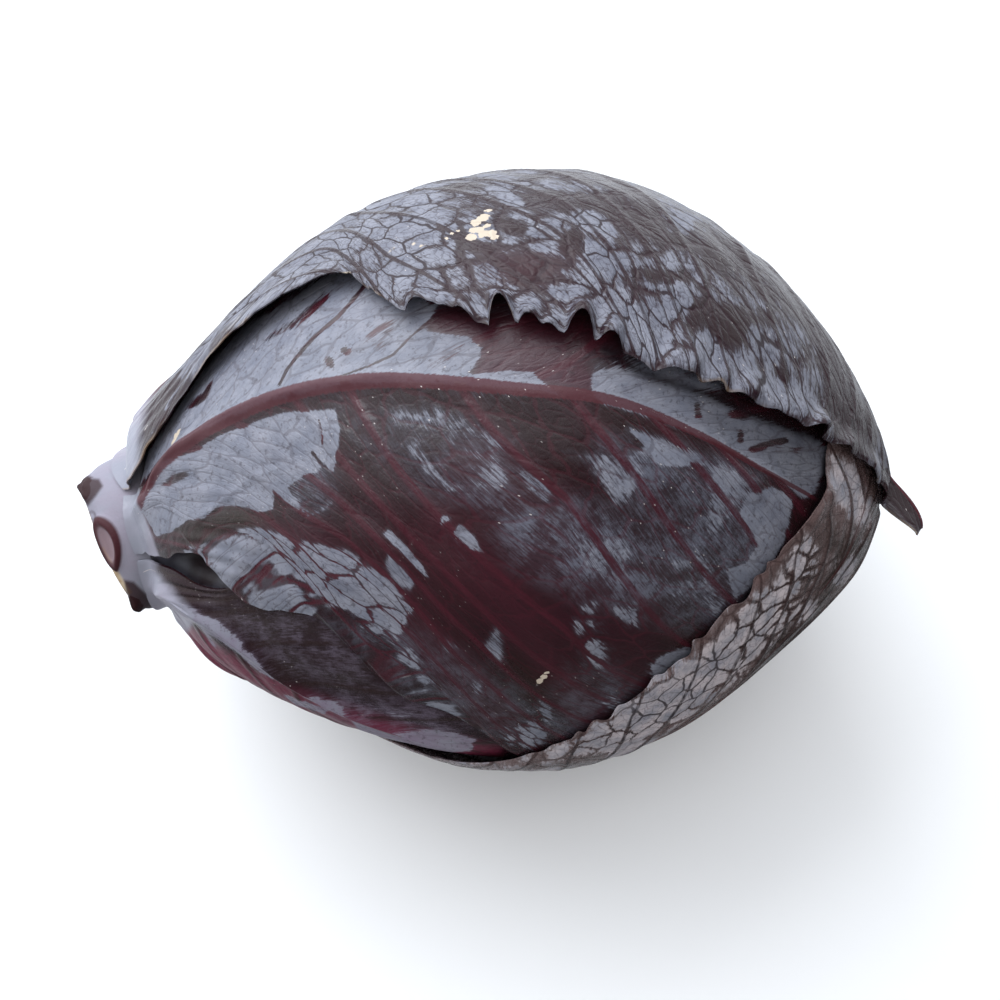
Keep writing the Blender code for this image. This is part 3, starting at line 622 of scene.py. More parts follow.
def seen_from_front(points):
    """Where each point lies on the front view's sheet, and how squarely the skin faces the view."""
    back, right = np.array(VIEW_BACK), np.array(VIEW_RIGHT)
    eye = np.array(VIEW_AIM) + back * VIEW_DISTANCE
    ray = points - eye
    deep = -(ray @ back)
    x = SHEET / 2 + VIEW_FACTOR * (ray @ right) / deep
    y = SHEET / 2 - VIEW_FACTOR * (ray @ np.cross(back, right)) / deep
    normal = np.cross(np.gradient(points, axis=0), np.gradient(points, axis=1))
    normal /= np.maximum(np.linalg.norm(normal, axis=-1, keepdims=True), 1e-12)
    middle = np.array([points[..., 0].mean(), 0.0, AXIS_HEIGHT])
    outwards = np.sign((normal * (points - middle)).sum(-1).mean())
    facing = -(normal * ray).sum(-1) * outwards / np.linalg.norm(ray, axis=-1)
    return x, y, facing


def line_away(x, y, line):
    """The distance to a line through these places, in mm."""
    nearest = np.full(x.shape, 1e6)
    for (x0, y0), (x1, y1) in zip(line, line[1:]):
        run = np.array([x1 - x0, y1 - y0], float)
        share = np.clip(((x - x0) * run[0] + (y - y0) * run[1]) / (run @ run), 0.0, 1.0)
        nearest = np.minimum(nearest, np.hypot(x - x0 - share * run[0], y - y0 - share * run[1]))
    return nearest * VIEW_MM


def mark_depth(x, y, shape):
    """How far inside a mark each place lies, in mm.

    A mark is an oval (x, y, reach, reach, turn), a line (half its width in mm, places) or a ring of places.
    """
    if isinstance(shape[0], (int, float)):
        if not isinstance(shape[1], tuple):
            turn = math.radians(shape[4])
            along = ((x - shape[0]) * math.cos(turn) + (y - shape[1]) * math.sin(turn)) / shape[2]
            across = ((y - shape[1]) * math.cos(turn) - (x - shape[0]) * math.sin(turn)) / shape[3]
            return (1.0 - np.hypot(along, across)) * min(shape[2], shape[3]) * VIEW_MM
        return shape[0] - line_away(x, y, shape[1:])
    ring = [*shape, shape[0]]
    inside = np.zeros(x.shape, bool)
    for (x0, y0), (x1, y1) in zip(ring, ring[1:]):
        if y0 != y1:
            crosses = ((y0 > y) != (y1 > y)) & (x < x0 + (y - y0) * (x1 - x0) / (y1 - y0))
            inside ^= crosses
    return np.where(inside, 1.0, -1.0) * line_away(x, y, ring)


def marked(level, x, y, facing, marks):
    """The level with each mark laid over it: (level in the mark, softness of its edge in mm, its shape)."""
    shown = smooth(*MARKS_FADE, facing)
    for target, softness, shape in marks:
        level = level + (target - level) * smooth(-softness, softness, mark_depth(x, y, shape)) * shown
    return level


# Where the bloom is kept (+) or rubbed off (-), as (alpha, phi, reach along, reach round, strength)
BLOOM = {
    "low_leaf": (
        -0.55,
        ((36, -60, 7, 6, 0.9), (44, -60, 6, 4, 1.0), (52, -66, 5, 4, 1.0), (60, -76, 5, 5, 0.9),
         (70, -88, 6, 5, 0.8), (66, -64, 10, 8, -0.3)),
    ),
    "front_leaf": (
        -0.42,
        ((45, -20, 7, 7, 1.1), (53, -19, 7, 7, 1.1), (60, -25, 5, 6, 1.0), (72, -20, 5, 10, -0.5),
         (45, 8, 10, 9, 1.1), (55, 8, 9, 8, 1.0), (63, 6, 7, 6, 0.6), (77, -4, 10, 2.5, 0.75),
         (87, 0, 9, 4, -0.6), (108, -8, 9, 6, 1.0), (122, -14, 9, 7, 1.0), (82, -17, 9, 4, 0.30),
         (99, -20, 4, 3, 0.65), (109, -26, 6, 5, 0.75), (116, -42, 4, 9, 0.8), (95, -35, 4, 7, 0.45),
         (103, -30, 4, 6, -0.3), (58, -62, 8, 8, -0.4), (74, -54, 8, 7, -0.4), (85, -50, 8, 5, 0.3),
         (68, 30, 30, 22, 0.3)),
    ),
    "tip_leaf": (
        0.0,
        ((106, -62, 10, 7, 0.4), (118, -52, 8, 6, 0.35), (128, -42, 5, 7, -0.4), (119, -96, 20, 16, -0.2)),
    ),
    "back_leaf": (
        0.15,
        ((58, 50, 20, 25, 0.25), (102, 28, 9, 8, -0.75), (90, 33, 7, 5, -0.4), (86, 12, 5, 4, -0.8),
         (113, 5, 5, 7, -0.55), (119, 28, 9, 9, -0.4), (145, -4, 12, 14, -0.55), (140, 30, 18, 26, -0.4),
         (124, -3, 5, 5, 0.3), (36, 8, 9, 7, -0.7)),
    ),
}
# Where the bloom is kept inside the cells of the vein net and rubbed off along the veins
NETTED = {
    "low_leaf": (),
    "front_leaf": ((54, -43, 7, 6, 1.0), (64, -46, 7, 6, 1.0), (80, -50, 9, 7, 0.5), (118, -30, 9, 9, 0.3)),
    "tip_leaf": ((104, -64, 14, 10, 1.0), (120, -54, 9, 9, 0.9), (140, -25, 10, 14, 0.4)),
    "back_leaf": ((84, 10, 16, 14, 0.25), (104, 8, 12, 14, 0.25), (122, 6, 12, 14, 0.15)),
}
# Where the skin under the bloom is red
RED = {
    "low_leaf": ((46, -78, 22, 14, 0.5), (70, -95, 14, 14, 0.5)),
    "front_leaf": ((69, 10, 7, 5, 0.7), (86, 0, 12, 5, 0.8), (80, -40, 14, 12, 0.5), (100, -44, 10, 8, 0.3)),
    "tip_leaf": (),
    "back_leaf": ((86, 12, 6, 5, 0.5),),
}

# Outlines that two kinds of marks share
LOW_LEAF_SEEN = ((100, 540), (600, 540), (600, 800), (100, 800))
LOW_BLADE = ((215, 600), (330, 610), (365, 650), (385, 690), (340, 684), (292, 668), (250, 635))
GREY_CELL = ((288, 487), (303, 475), (327, 467), (339, 481), (339, 497), (327, 508), (313, 514), (303, 507))
NET_CELL = (
    (186, 549), (220, 534), (262, 526), (300, 538), (346, 548), (392, 578), (414, 606), (398, 634),
    (372, 628), (350, 606), (322, 604), (308, 622), (276, 628), (256, 612), (240, 592), (214, 574),
)
TIP_LEAF_SEEN = ((500, 780), (640, 700), (760, 560), (840, 430), (920, 430), (900, 640), (700, 800))
# The marks on each leaf in the front view: (level in the mark, softness of its edge in mm, its shape)
MARKS = {
    "low_leaf": {
        "pale": (
            (0.0, 3.0, ((120, 560), (250, 560), (250, 700), (120, 700))),
            (1.0, 2.5, ((110, 560), (150, 560), (175, 578), (205, 606), (190, 628), (160, 618), (130, 600))),
        ),
        "bloom": (
            (-0.85, 3.0, ((140, 560), (560, 560), (560, 800), (140, 800))),
            # pale lavender strips along the rib's upper flank: kept bloom, and partly painted highlight
            (1.2, 1.1, (
                (160, 583), (182, 588), (200, 600), (224, 614), (243, 629), (262, 646), (279, 665),
                (276, 674), (260, 665), (241, 650), (222, 633), (200, 617), (182, 610), (165, 600),
            )),
            (1.0, 0.9, ((298, 682), (322, 688), (346, 698), (352, 708), (330, 704), (306, 692))),
            (0.8, 0.6, ((286, 691), (306, 697), (332, 706), (326, 710), (300, 702))),
            (0.9, 1.0, (
                (352, 714), (372, 722), (404, 725), (440, 726), (478, 735), (472, 748), (440, 750),
                (404, 743), (366, 735),
            )),
            (-0.2, 2.0, (402, 712, 50, 9, 14)),
            (0.5, 0.8, (210, 628, 7, 3, 55)),
            (0.5, 0.8, (216, 640, 8, 3, 50)),
        ),
        "red": (
            (0.0, 3.0, LOW_LEAF_SEEN),
            (1.0, 1.6, (
                (178, 614), (205, 630), (240, 655), (275, 682), (320, 708), (360, 730), (410, 748),
                (505, 762), (505, 800), (140, 800), (140, 600),
            )),
            (0.85, 2.0, (
                (262, 666), (300, 680), (350, 702), (420, 726), (500, 744), (505, 770), (400, 760),
                (320, 722), (262, 690),
            )),
        ),
        "dust": (
            (0.45, 5.0, LOW_BLADE),
            (0.5, 5.0, (5.0, (350, 700), (395, 714), (450, 722))),
        ),
        "olive": (
            (0.0, 3.0, LOW_LEAF_SEEN),
            (1.0, 4.0, LOW_BLADE),
        ),
    },
    "front_leaf": {
        "pale": (
            (0.0, 2.0, ((100, 400), (400, 400), (400, 640), (100, 640))),
            (1.0, 1.4, (
                (100, 460), (140, 482), (146, 500), (152, 524), (158, 545), (166, 566), (176, 575),
                (150, 600), (100, 600),
            )),
        ),
        "bloom": (
            (-0.80, 4.0, ((140, 420), (860, 380), (860, 800), (140, 800))),
            # above the midrib
            (1.1, 1.5, (
                (130, 500), (142, 470), (160, 440), (200, 380), (250, 330), (345, 272), (400, 290),
                (480, 330), (480, 384), (430, 382), (352, 384), (268, 404), (204, 434), (160, 462),
            )),
            (-0.5, 0.8, (
                (189, 411), (197, 400), (206, 392), (217, 377), (214, 391), (209, 401), (197, 409),
            )),
            (-0.1, 1.6, (
                (246, 352), (268, 338), (300, 318), (330, 296), (330, 304), (300, 328), (270, 346),
            )),
            (-0.25, 1.5, ((268, 338), (290, 322), (312, 306), (330, 290), (318, 309), (292, 331))),
            (0.2, 3.0, ((378, 306), (398, 320), (402, 345), (384, 362), (366, 352), (366, 325))),
            (-0.8, 0.6, (0.5, (285, 387), (290, 371), (303, 356), (322, 334), (342, 317), (370, 284))),
            (-0.6, 0.5, (0.4, (347, 379), (372, 369), (396, 356), (409, 341), (426, 327), (441, 316))),
            (-0.7, 0.6, (1.0, (331, 362), (334, 367))),
            (-0.7, 0.6, (1.0, (346, 352), (350, 354))),
            (-1.2, 1.6, (
                (437, 312), (456, 314), (470, 322), (486, 330), (505, 336), (540, 345), (575, 352),
                (585, 365), (600, 385), (600, 396), (560, 392), (535, 384), (510, 381), (470, 382),
                (460, 376), (475, 366), (485, 350), (470, 338), (447, 336), (428, 332),
            )),
            (0.3, 1.6, (
                (405, 358), (418, 346), (440, 340), (466, 344), (480, 356), (470, 374), (440, 376),
                (410, 372),
            )),
            (0.85, 0.8, (
                (405, 376), (430, 371), (470, 376), (500, 380), (530, 387), (500, 386), (430, 384),
                (400, 384),
            )),
            (0.9, 0.9, ((478, 376), (510, 372), (535, 374), (545, 386), (560, 396), (535, 390), (505, 384))),
            (0.62, 1.6, (
                (590, 375), (620, 372), (660, 384), (700, 397), (760, 420), (800, 432), (828, 446),
                (824, 470), (812, 492), (800, 498), (760, 470), (720, 446), (680, 429), (636, 413),
                (604, 406), (590, 394),
            )),
            (-0.6, 0.7, (0.8, (749, 449), (766, 444), (782, 441))),
            (-0.7, 0.7, (0.9, (695, 406), (696, 416))),
            (-0.7, 0.7, (0.7, (738, 433), (738, 441))),
            (-0.5, 1.2, (737, 415, 9, 5, 10)),
            # below the midrib
            (1.15, 1.0, (
                (158, 487), (166, 476), (174, 462), (190, 456), (205, 449), (222, 438), (240, 430),
                (261, 422), (288, 414), (310, 413), (337, 412), (342, 430), (340, 448), (335, 472),
                (340, 497), (327, 509), (312, 517), (303, 510), (287, 500), (276, 489), (275, 508),
                (262, 511), (250, 506), (240, 504), (219, 506), (208, 517), (191, 518), (174, 531),
                (159, 535), (153, 524), (145, 501), (152, 494),
            )),
            (-0.25, 0.7, GREY_CELL),
            (-0.8, 0.45, (0.5, (139, 498), (146, 515), (153, 531), (158, 545))),
            (-0.7, 0.4, (0.35, (321, 420), (326, 436), (325, 452))),
            (-0.8, 0.5, (0.6, (315, 452), (321, 460), (330, 470), (338, 482))),
            (-0.3, 0.9, (180, 478, 16, 5, -24)),
            # the bright cells of the net
            (0.50, 2.0, NET_CELL),
            # the grey patches between the side veins
            (-0.10, 2.4, (
                (386, 410), (440, 412), (490, 424), (508, 446), (514, 470), (505, 494), (470, 500),
                (440, 494), (420, 470), (398, 440),
            )),
            (-0.7, 2.0, (436, 448, 11, 9, 20)),
            (-0.7, 2.0, (458, 470, 9, 10, 60)),
            (0.8, 1.0, ((453, 532), (461, 523), (478, 540), (484, 552), (471, 548))),
            (0.8, 0.6, ((438, 518), (447, 513), (452, 520), (444, 524))),
            (0.9, 0.6, ((383, 530), (392, 530), (410, 548), (425, 566), (430, 576), (420, 568), (402, 548))),
            (0.25, 1.2, ((390, 548), (405, 560), (418, 580), (412, 590), (398, 582), (385, 565))),
            (0.05, 1.8, (
                (500, 440), (526, 458), (560, 488), (584, 498), (574, 508), (545, 505), (520, 482),
            )),
            (0.14, 2.6, (
                (563, 451), (600, 450), (640, 449), (641, 475), (632, 504), (618, 512), (604, 492),
                (585, 470),
            )),
            (0.6, 2.2, (
                (626, 430), (648, 434), (672, 444), (700, 456), (704, 466), (680, 470), (662, 468),
                (641, 452),
            )),
            (-1.0, 0.9, (
                (543, 422), (589, 422), (622, 430), (642, 446), (620, 454), (578, 446), (550, 434),
            )),
            (-1.1, 2.2, (
                (640, 482), (664, 470), (690, 468), (699, 482), (698, 540), (680, 546), (650, 532),
                (632, 520),
            )),
            (0.12, 2.4, (
                (703, 457), (726, 464), (750, 478), (752, 491), (734, 513), (715, 535), (701, 538),
                (703, 492),
            )),
            (0.05, 3.0, (
                (556, 532), (588, 522), (624, 529), (632, 557), (626, 582), (604, 582), (581, 570),
                (566, 548),
            )),
            (0.10, 2.6, ((576, 603), (596, 600), (602, 633), (606, 664), (588, 661), (573, 634))),
            (0.15, 2.2, ((606, 604), (630, 602), (646, 606), (648, 622), (626, 624), (612, 617))),
            (0.22, 2.0, ((482, 643), (497, 619), (507, 636), (502, 665), (492, 656))),
            (0.2, 2.0, ((398, 650), (412, 646), (436, 678), (426, 682))),
            (0.2, 2.0, (450, 643, 9, 6, 45)),
            (0.75, 1.3, (
                (746, 494), (768, 486), (790, 498), (786, 524), (781, 541), (764, 571), (742, 592),
                (731, 597), (724, 568), (744, 562), (754, 546), (744, 526), (735, 515),
            )),
            (0.05, 2.4, (
                (692, 544), (708, 562), (711, 577), (728, 597), (723, 612), (703, 622), (700, 597),
                (695, 572),
            )),
            (-0.15, 1.6, ((665, 557), (692, 557), (696, 597), (688, 612), (668, 602))),
            (0.5, 1.2, ((648, 661), (666, 650), (690, 642), (691, 651), (668, 666), (653, 678))),
            (0.35, 2.0, ((521, 723), (535, 716), (547, 725), (545, 738), (535, 746), (523, 742))),
            (0.3, 2.0, (547, 708, 6, 10, -20)),
            (0.3, 2.0, (512, 736, 7, 6, 0)),
            (0.25, 2.0, (430, 698, 11, 5, 35)),
            (0.3, 2.0, (453, 714, 11, 8, 40)),
            (0.2, 2.0, (478, 684, 7, 6, 0)),
            (0.4, 1.2, (612, 700, 8, 5, 0)),
        ),
        "red": (
            (1.0, 2.0, (
                (420, 326), (456, 314), (486, 330), (540, 345), (585, 365), (604, 388), (600, 398),
                (535, 384), (470, 382), (485, 350), (447, 336),
            )),
            (0.7, 3.0, (
                (255, 520), (320, 525), (420, 600), (480, 660), (540, 740), (480, 720), (400, 640),
                (300, 545),
            )),
            (0.9, 5.0, (4.0, (440, 520), (500, 590), (560, 670), (600, 720))),
            (0.5, 6.0, (10.0, (480, 480), (560, 560), (620, 650))),
        ),
        "shade": (
            # painted shade in the recess under the back leaf's flap, and painted shadow lines along the back
            # leaf's edge and beside the tip leaf's edge
            (0.45, 4.0, (
                (690, 400), (760, 424), (812, 440), (822, 470), (800, 490), (740, 450), (700, 425),
            )),
            (1.0, 1.5, (1.0, (604, 352), (640, 374), (700, 394), (760, 420), (812, 438))),
            (1.0, 1.0, (1.0, (824, 460), (816, 500), (794, 542), (764, 578), (738, 600))),
        ),
        "dust": (
            (0.20, 3.0, (
                (345, 408), (440, 408), (520, 440), (520, 500), (470, 505), (420, 500), (380, 460),
                (352, 440),
            )),
            (0.45, 3.0, GREY_CELL),
            (0.85, 6.0, (
                (480, 500), (560, 500), (640, 520), (700, 560), (690, 620), (600, 600), (520, 560),
            )),
            (0.75, 5.0, (
                (600, 440), (700, 455), (756, 480), (756, 560), (720, 625), (690, 600), (640, 520),
            )),
            (0.45, 5.0, (
                (330, 620), (400, 620), (540, 700), (600, 660), (640, 690), (560, 744), (440, 720),
            )),
            (0.35, 4.0, ((120, 535), (156, 533), (166, 562), (140, 556))),
            (0.10, 3.0, ((437, 320), (600, 350), (600, 396), (470, 382))),
        ),
        "olive": (
            (1.0, 2.0, (
                (157, 534), (175, 531), (192, 519), (209, 518), (225, 508), (250, 508), (275, 516),
                (262, 528), (222, 536), (202, 548), (188, 560), (168, 567),
            )),
            (1.0, 6.0, ((640, 565), (700, 560), (706, 600), (690, 650), (640, 655), (630, 620))),
            (0.9, 5.0, ((262, 628), (310, 625), (350, 650), (390, 690), (360, 690), (300, 660))),
            (0.8, 6.0, ((420, 690), (520, 660), (600, 680), (560, 740), (480, 730))),
        ),
        "netted": (
            (0.0, 3.0, ((140, 400), (860, 380), (860, 800), (140, 800))),
            (1.0, 2.0, NET_CELL),
            (0.8, 4.0, (
                (330, 620), (400, 620), (450, 690), (480, 720), (540, 700), (560, 740), (520, 755),
                (400, 700),
            )),
            (0.6, 4.0, ((560, 600), (650, 600), (660, 680), (600, 720), (560, 680))),
        ),
        "height": (
            (0.35, 1.2, (0.6, (166, 452), (186, 418), (214, 380), (262, 338), (318, 302))),
            (0.30, 1.0, (0.5, (176, 458), (198, 425), (232, 386), (280, 350), (330, 314))),
            (0.30, 1.0, (0.4, (150, 462), (172, 428), (204, 386), (248, 340), (300, 300))),
            (0.35, 0.9, (0.3, (285, 387), (303, 356), (342, 317), (370, 284))),
            (0.35, 1.2, (0.4, (200, 520), (250, 480), (285, 468), (320, 500))),
        ),
    },
    "tip_leaf": {
        "bloom": (
            (-0.5, 3.0, TIP_LEAF_SEEN),
            (0.30, 2.0, (
                (546, 749), (601, 719), (652, 686), (692, 658), (723, 622), (743, 597), (774, 577),
                (802, 531), (812, 545), (790, 590), (775, 630), (736, 673), (690, 712), (642, 734),
                (596, 747), (546, 757),
            )),
            (0.85, 2.0, (
                (622, 706), (652, 686), (692, 658), (712, 640), (722, 655), (700, 690), (660, 716),
                (632, 722),
            )),
            (0.45, 2.0, ((827, 453), (850, 460), (867, 500), (866, 528), (848, 524), (830, 500))),
            (-0.3, 3.0, ((828, 500), (850, 520), (872, 530), (868, 550), (830, 540), (812, 520))),
            (0.3, 2.0, (842, 570, 8, 16, 20)),
            (0.2, 2.0, (800, 610, 14, 9, -35)),
            (0.55, 2.0, ((606, 744), (640, 736), (692, 728), (690, 738), (650, 752), (610, 760))),
            (0.7, 0.8, ((393, 750), (440, 764), (500, 768), (560, 764), (560, 772), (480, 776), (400, 762))),
        ),
        "netted": (
            (0.0, 3.0, TIP_LEAF_SEEN),
            (1.0, 3.0, (
                (546, 749), (601, 719), (652, 686), (692, 658), (723, 622), (743, 597), (774, 577),
                (802, 531), (830, 560), (800, 615), (768, 640), (736, 673), (690, 712), (642, 734),
                (596, 747), (546, 757),
            )),
        ),
        "olive": (
            (1.0, 5.0, ((720, 630), (790, 560), (830, 520), (880, 540), (850, 620), (760, 700))),
        ),
    },
    "back_leaf": {
        "bloom": (
            (-0.9, 1.4, ((512, 275), (525, 268), (541, 270), (540, 282), (528, 290), (515, 286))),
            (-0.9, 1.6, ((562, 245), (572, 234), (581, 240), (580, 254), (570, 262), (562, 256))),
            (-0.8, 1.6, ((497, 222), (512, 224), (527, 232), (524, 239), (508, 236))),
            (-0.6, 1.2, (464, 191, 20, 3.5, -3)),
            (-0.7, 1.4, (462, 246, 4.5, 15, 0)),
            (-0.7, 1.6, (483, 252, 13, 4, 0)),
            (-0.05, 4.0, (
                (500, 172), (620, 172), (700, 190), (690, 205), (640, 206), (600, 205), (540, 190),
            )),
            (0.9, 1.4, ((390, 224), (415, 221), (439, 226), (430, 233), (400, 234))),
            (0.9, 1.4, (510, 204, 10, 5, 10)),
            (0.9, 1.6, ((573, 216), (592, 215), (612, 228), (616, 238), (596, 238), (580, 228))),
            (0.7, 1.8, ((582, 246), (606, 246), (620, 262), (618, 280), (600, 278), (584, 262))),
            (0.1, 2.0, ((470, 262), (496, 262), (506, 280), (492, 290), (474, 286))),
            (0.5, 2.0, ((658, 213), (676, 211), (692, 222), (686, 238), (668, 234))),
            (-0.6, 2.0, ((631, 275), (650, 271), (686, 276), (684, 284), (650, 284))),
            (-0.7, 2.0, ((684, 308), (700, 305), (706, 322), (696, 334), (686, 328))),
            (-0.9, 2.4, ((713, 312), (738, 309), (749, 322), (742, 342), (724, 346), (712, 330))),
            (-0.6, 2.4, ((703, 252), (718, 250), (728, 262), (722, 271), (706, 268))),
            (0.7, 1.6, ((660, 290), (682, 288), (689, 300), (684, 318), (664, 320))),
            (0.75, 2.0, (
                (614, 308), (640, 305), (662, 318), (665, 350), (650, 362), (630, 350), (616, 330),
            )),
            (0.7, 1.8, ((689, 340), (706, 336), (720, 350), (722, 372), (706, 378), (692, 362))),
            (0.6, 2.0, ((742, 331), (756, 329), (773, 350), (770, 366), (752, 358))),
            (0.55, 2.0, ((775, 386), (792, 384), (808, 400), (806, 416), (786, 410))),
            (-0.9, 2.6, ((830, 405), (852, 403), (871, 418), (868, 432), (846, 430))),
            (-0.4, 3.0, (780, 376, 18, 8, 20)),
            (-0.5, 3.0, (763, 320, 10, 8, 30)),
            (-0.15, 4.0, (
                (696, 194), (750, 220), (800, 270), (850, 350), (830, 350), (780, 290), (730, 240),
            )),
            (0.9, 0.5, ((391, 257), (397, 250), (411, 248), (427, 252), (424, 256), (411, 261), (396, 259))),
            (-1.2, 1.0, (
                (112, 480), (126, 444), (158, 402), (182, 380), (160, 424), (134, 466), (118, 486),
            )),
            (-1.6, 1.2, ((880, 470), (894, 472), (930, 490), (930, 535), (886, 530))),
        ),
        "tan": (
            (0.8, 0.35, (0.25, (390, 257), (396, 249.5), (411, 246.5), (428, 251))),
            (0.6, 0.4, (0.35, (240, 332), (262, 315), (285, 299), (310, 286), (335, 276), (352, 275))),
        ),
    },
}


class Graph:
    """Short names for building a material's nodes."""

    def __init__(self, name):
        self.material = bpy.data.materials.new(name)
        self.material.use_nodes = True
        self.tree = self.material.node_tree
        self.shader = self.tree.nodes["Principled BSDF"]

    def put(self, socket, value):
        if isinstance(value, bpy.types.NodeSocket):
            self.tree.links.new(value, socket)
        elif value is not None:
            socket.default_value = value

    def attribute(self, name, output="Fac"):
        node = self.tree.nodes.new("ShaderNodeAttribute")
        node.attribute_name = name
        return node.outputs[output]

    def place(self):
        return self.tree.nodes.new("ShaderNodeTexCoord").outputs["Object"]

    def math(self, operation, first, second=None, third=None):
        node = self.tree.nodes.new("ShaderNodeMath")
        node.operation = operation
        for socket, value in zip(node.inputs, (first, second, third)):
            self.put(socket, value)
        return node.outputs[0]

    def times(self, first, second):
        return self.math("MULTIPLY", first, second)

    def plus(self, first, second):
        return self.math("ADD", first, second)

    def minus(self, first, second):
        return self.math("SUBTRACT", first, second)

    def most(self, first, second):
        return self.math("MAXIMUM", first, second)

    def between(self, low, high, share):
        """From low, where the share is 0, to high, where it is 1."""
        return self.math("MULTIPLY_ADD", share, high - low, low)

    def swing(self, level, noise, span):
        """The level moved up or down by up to half the span, as the noise goes from 0 to 1."""
        return self.plus(level, self.between(-0.5 * span, 0.5 * span, noise))

    def ease(self, low, high, value):
        """0 at low, 1 at high, and an easy curve between."""
        node = self.tree.nodes.new("ShaderNodeMapRange")
        node.interpolation_type = "SMOOTHSTEP"
        self.put(node.inputs["Value"], value)
        self.put(node.inputs["From Min"], low)
        self.put(node.inputs["From Max"], high)
        return node.outputs["Result"]

    def noise(self, vector, scale, detail=3.0, rough=0.55, warp=0.0, output="Fac"):
        node = self.tree.nodes.new("ShaderNodeTexNoise")
        self.put(node.inputs["Vector"], vector)
        node.inputs["Scale"].default_value = scale
        node.inputs["Detail"].default_value = detail
        node.inputs["Roughness"].default_value = rough
        node.inputs["Distortion"].default_value = warp
        return node.outputs[output]

    def cells(self, vector, scale, feature="DISTANCE_TO_EDGE", output="Distance"):
        node = self.tree.nodes.new("ShaderNodeTexVoronoi")
        node.voronoi_dimensions = "2D"
        node.feature = feature
        self.put(node.inputs["Vector"], vector)
        node.inputs["Scale"].default_value = scale
        return node.outputs[output]

    def vector(self, operation, first, second=None, scale=None):
        node = self.tree.nodes.new("ShaderNodeVectorMath")
        node.operation = operation
        self.put(node.inputs[0], first)
        if second is not None:
            self.put(node.inputs[1], second)
        if scale is not None:
            self.put(node.inputs["Scale"], scale)
        return node.outputs[0]

    def mix(self, share, first, second):
        node = self.tree.nodes.new("ShaderNodeMix")
        node.data_type = "RGBA"
        node.clamp_factor = True
        self.put(node.inputs[0], share)
        for socket, value in ((node.inputs[6], first), (node.inputs[7], second)):
            self.put(socket, (*value, 1.0) if isinstance(value, tuple) else value)
        return node.outputs[2]

    def distance(self, first, second):
        node = self.tree.nodes.new("ShaderNodeVectorMath")
        node.operation = "DISTANCE"
        self.put(node.inputs[0], first)
        self.put(node.inputs[1], second)
        return node.outputs["Value"]

    def bumps(self, *layers):
        """Relief, each layer as (height, distance in metres, strength)."""
        normal = None
        for height, distance, strength in layers:
            node = self.tree.nodes.new("ShaderNodeBump")
            self.put(node.inputs["Height"], height)
            node.inputs["Distance"].default_value = distance
            node.inputs["Strength"].default_value = strength
            self.put(node.inputs["Normal"], normal)
            normal = node.outputs["Normal"]
        self.put(self.shader.inputs["Normal"], normal)


DARK = (0.0165, 0.0052, 0.0078)
OLIVE = (0.021, 0.0125, 0.0088)
CRIMSON = (0.048, 0.0070, 0.0140)
BLOOM_COLOUR = (0.150, 0.160, 0.205)
BLOOM_PALE = (0.240, 0.245, 0.290)
VEIN_DARK = (0.013, 0.0048, 0.0080)
TAN = (0.25, 0.17, 0.10)
SCAR = (0.50, 0.42, 0.33)
PALE_SKIN = (0.25, 0.225, 0.275)
VEIN_RED = (0.060, 0.0085, 0.0160)
RIB_RED = (0.062, 0.0085, 0.0140)
# near-black painted shade, laid under and beside other leaves' edges
PAINTED_SHADE = (0.010, 0.0070, 0.0090)
SPECK = (0.55, 0.50, 0.48)
# painted shade for the heart where it lies deep in the pocket by the stalk
POCKET_SHADE = (0.02, 0.012, 0.014)
FLESH_LIGHT, FLESH_DARK = (0.50, 0.40, 0.27), (0.36, 0.23, 0.13)
FLESH_MIDDLE, FLESH_RING = (0.56, 0.50, 0.40), (0.22, 0.13, 0.085)
SCAR_RING, SCAR_INSIDE = (0.048, 0.0110, 0.0150), (0.23, 0.15, 0.16)
TORN = (0.026, 0.0075, 0.0090)

COARSE_NET, FINE_NET = 1.0, 2.9  # the scale of the vein net's cells
HALF_GREY = (0.5, 0.5, 0.5)
RIB_LOWER = 0.16  # how far the reddish part of the midrib lies below its crest, in half-widths
SCAR_JAG = 1.8 * MM


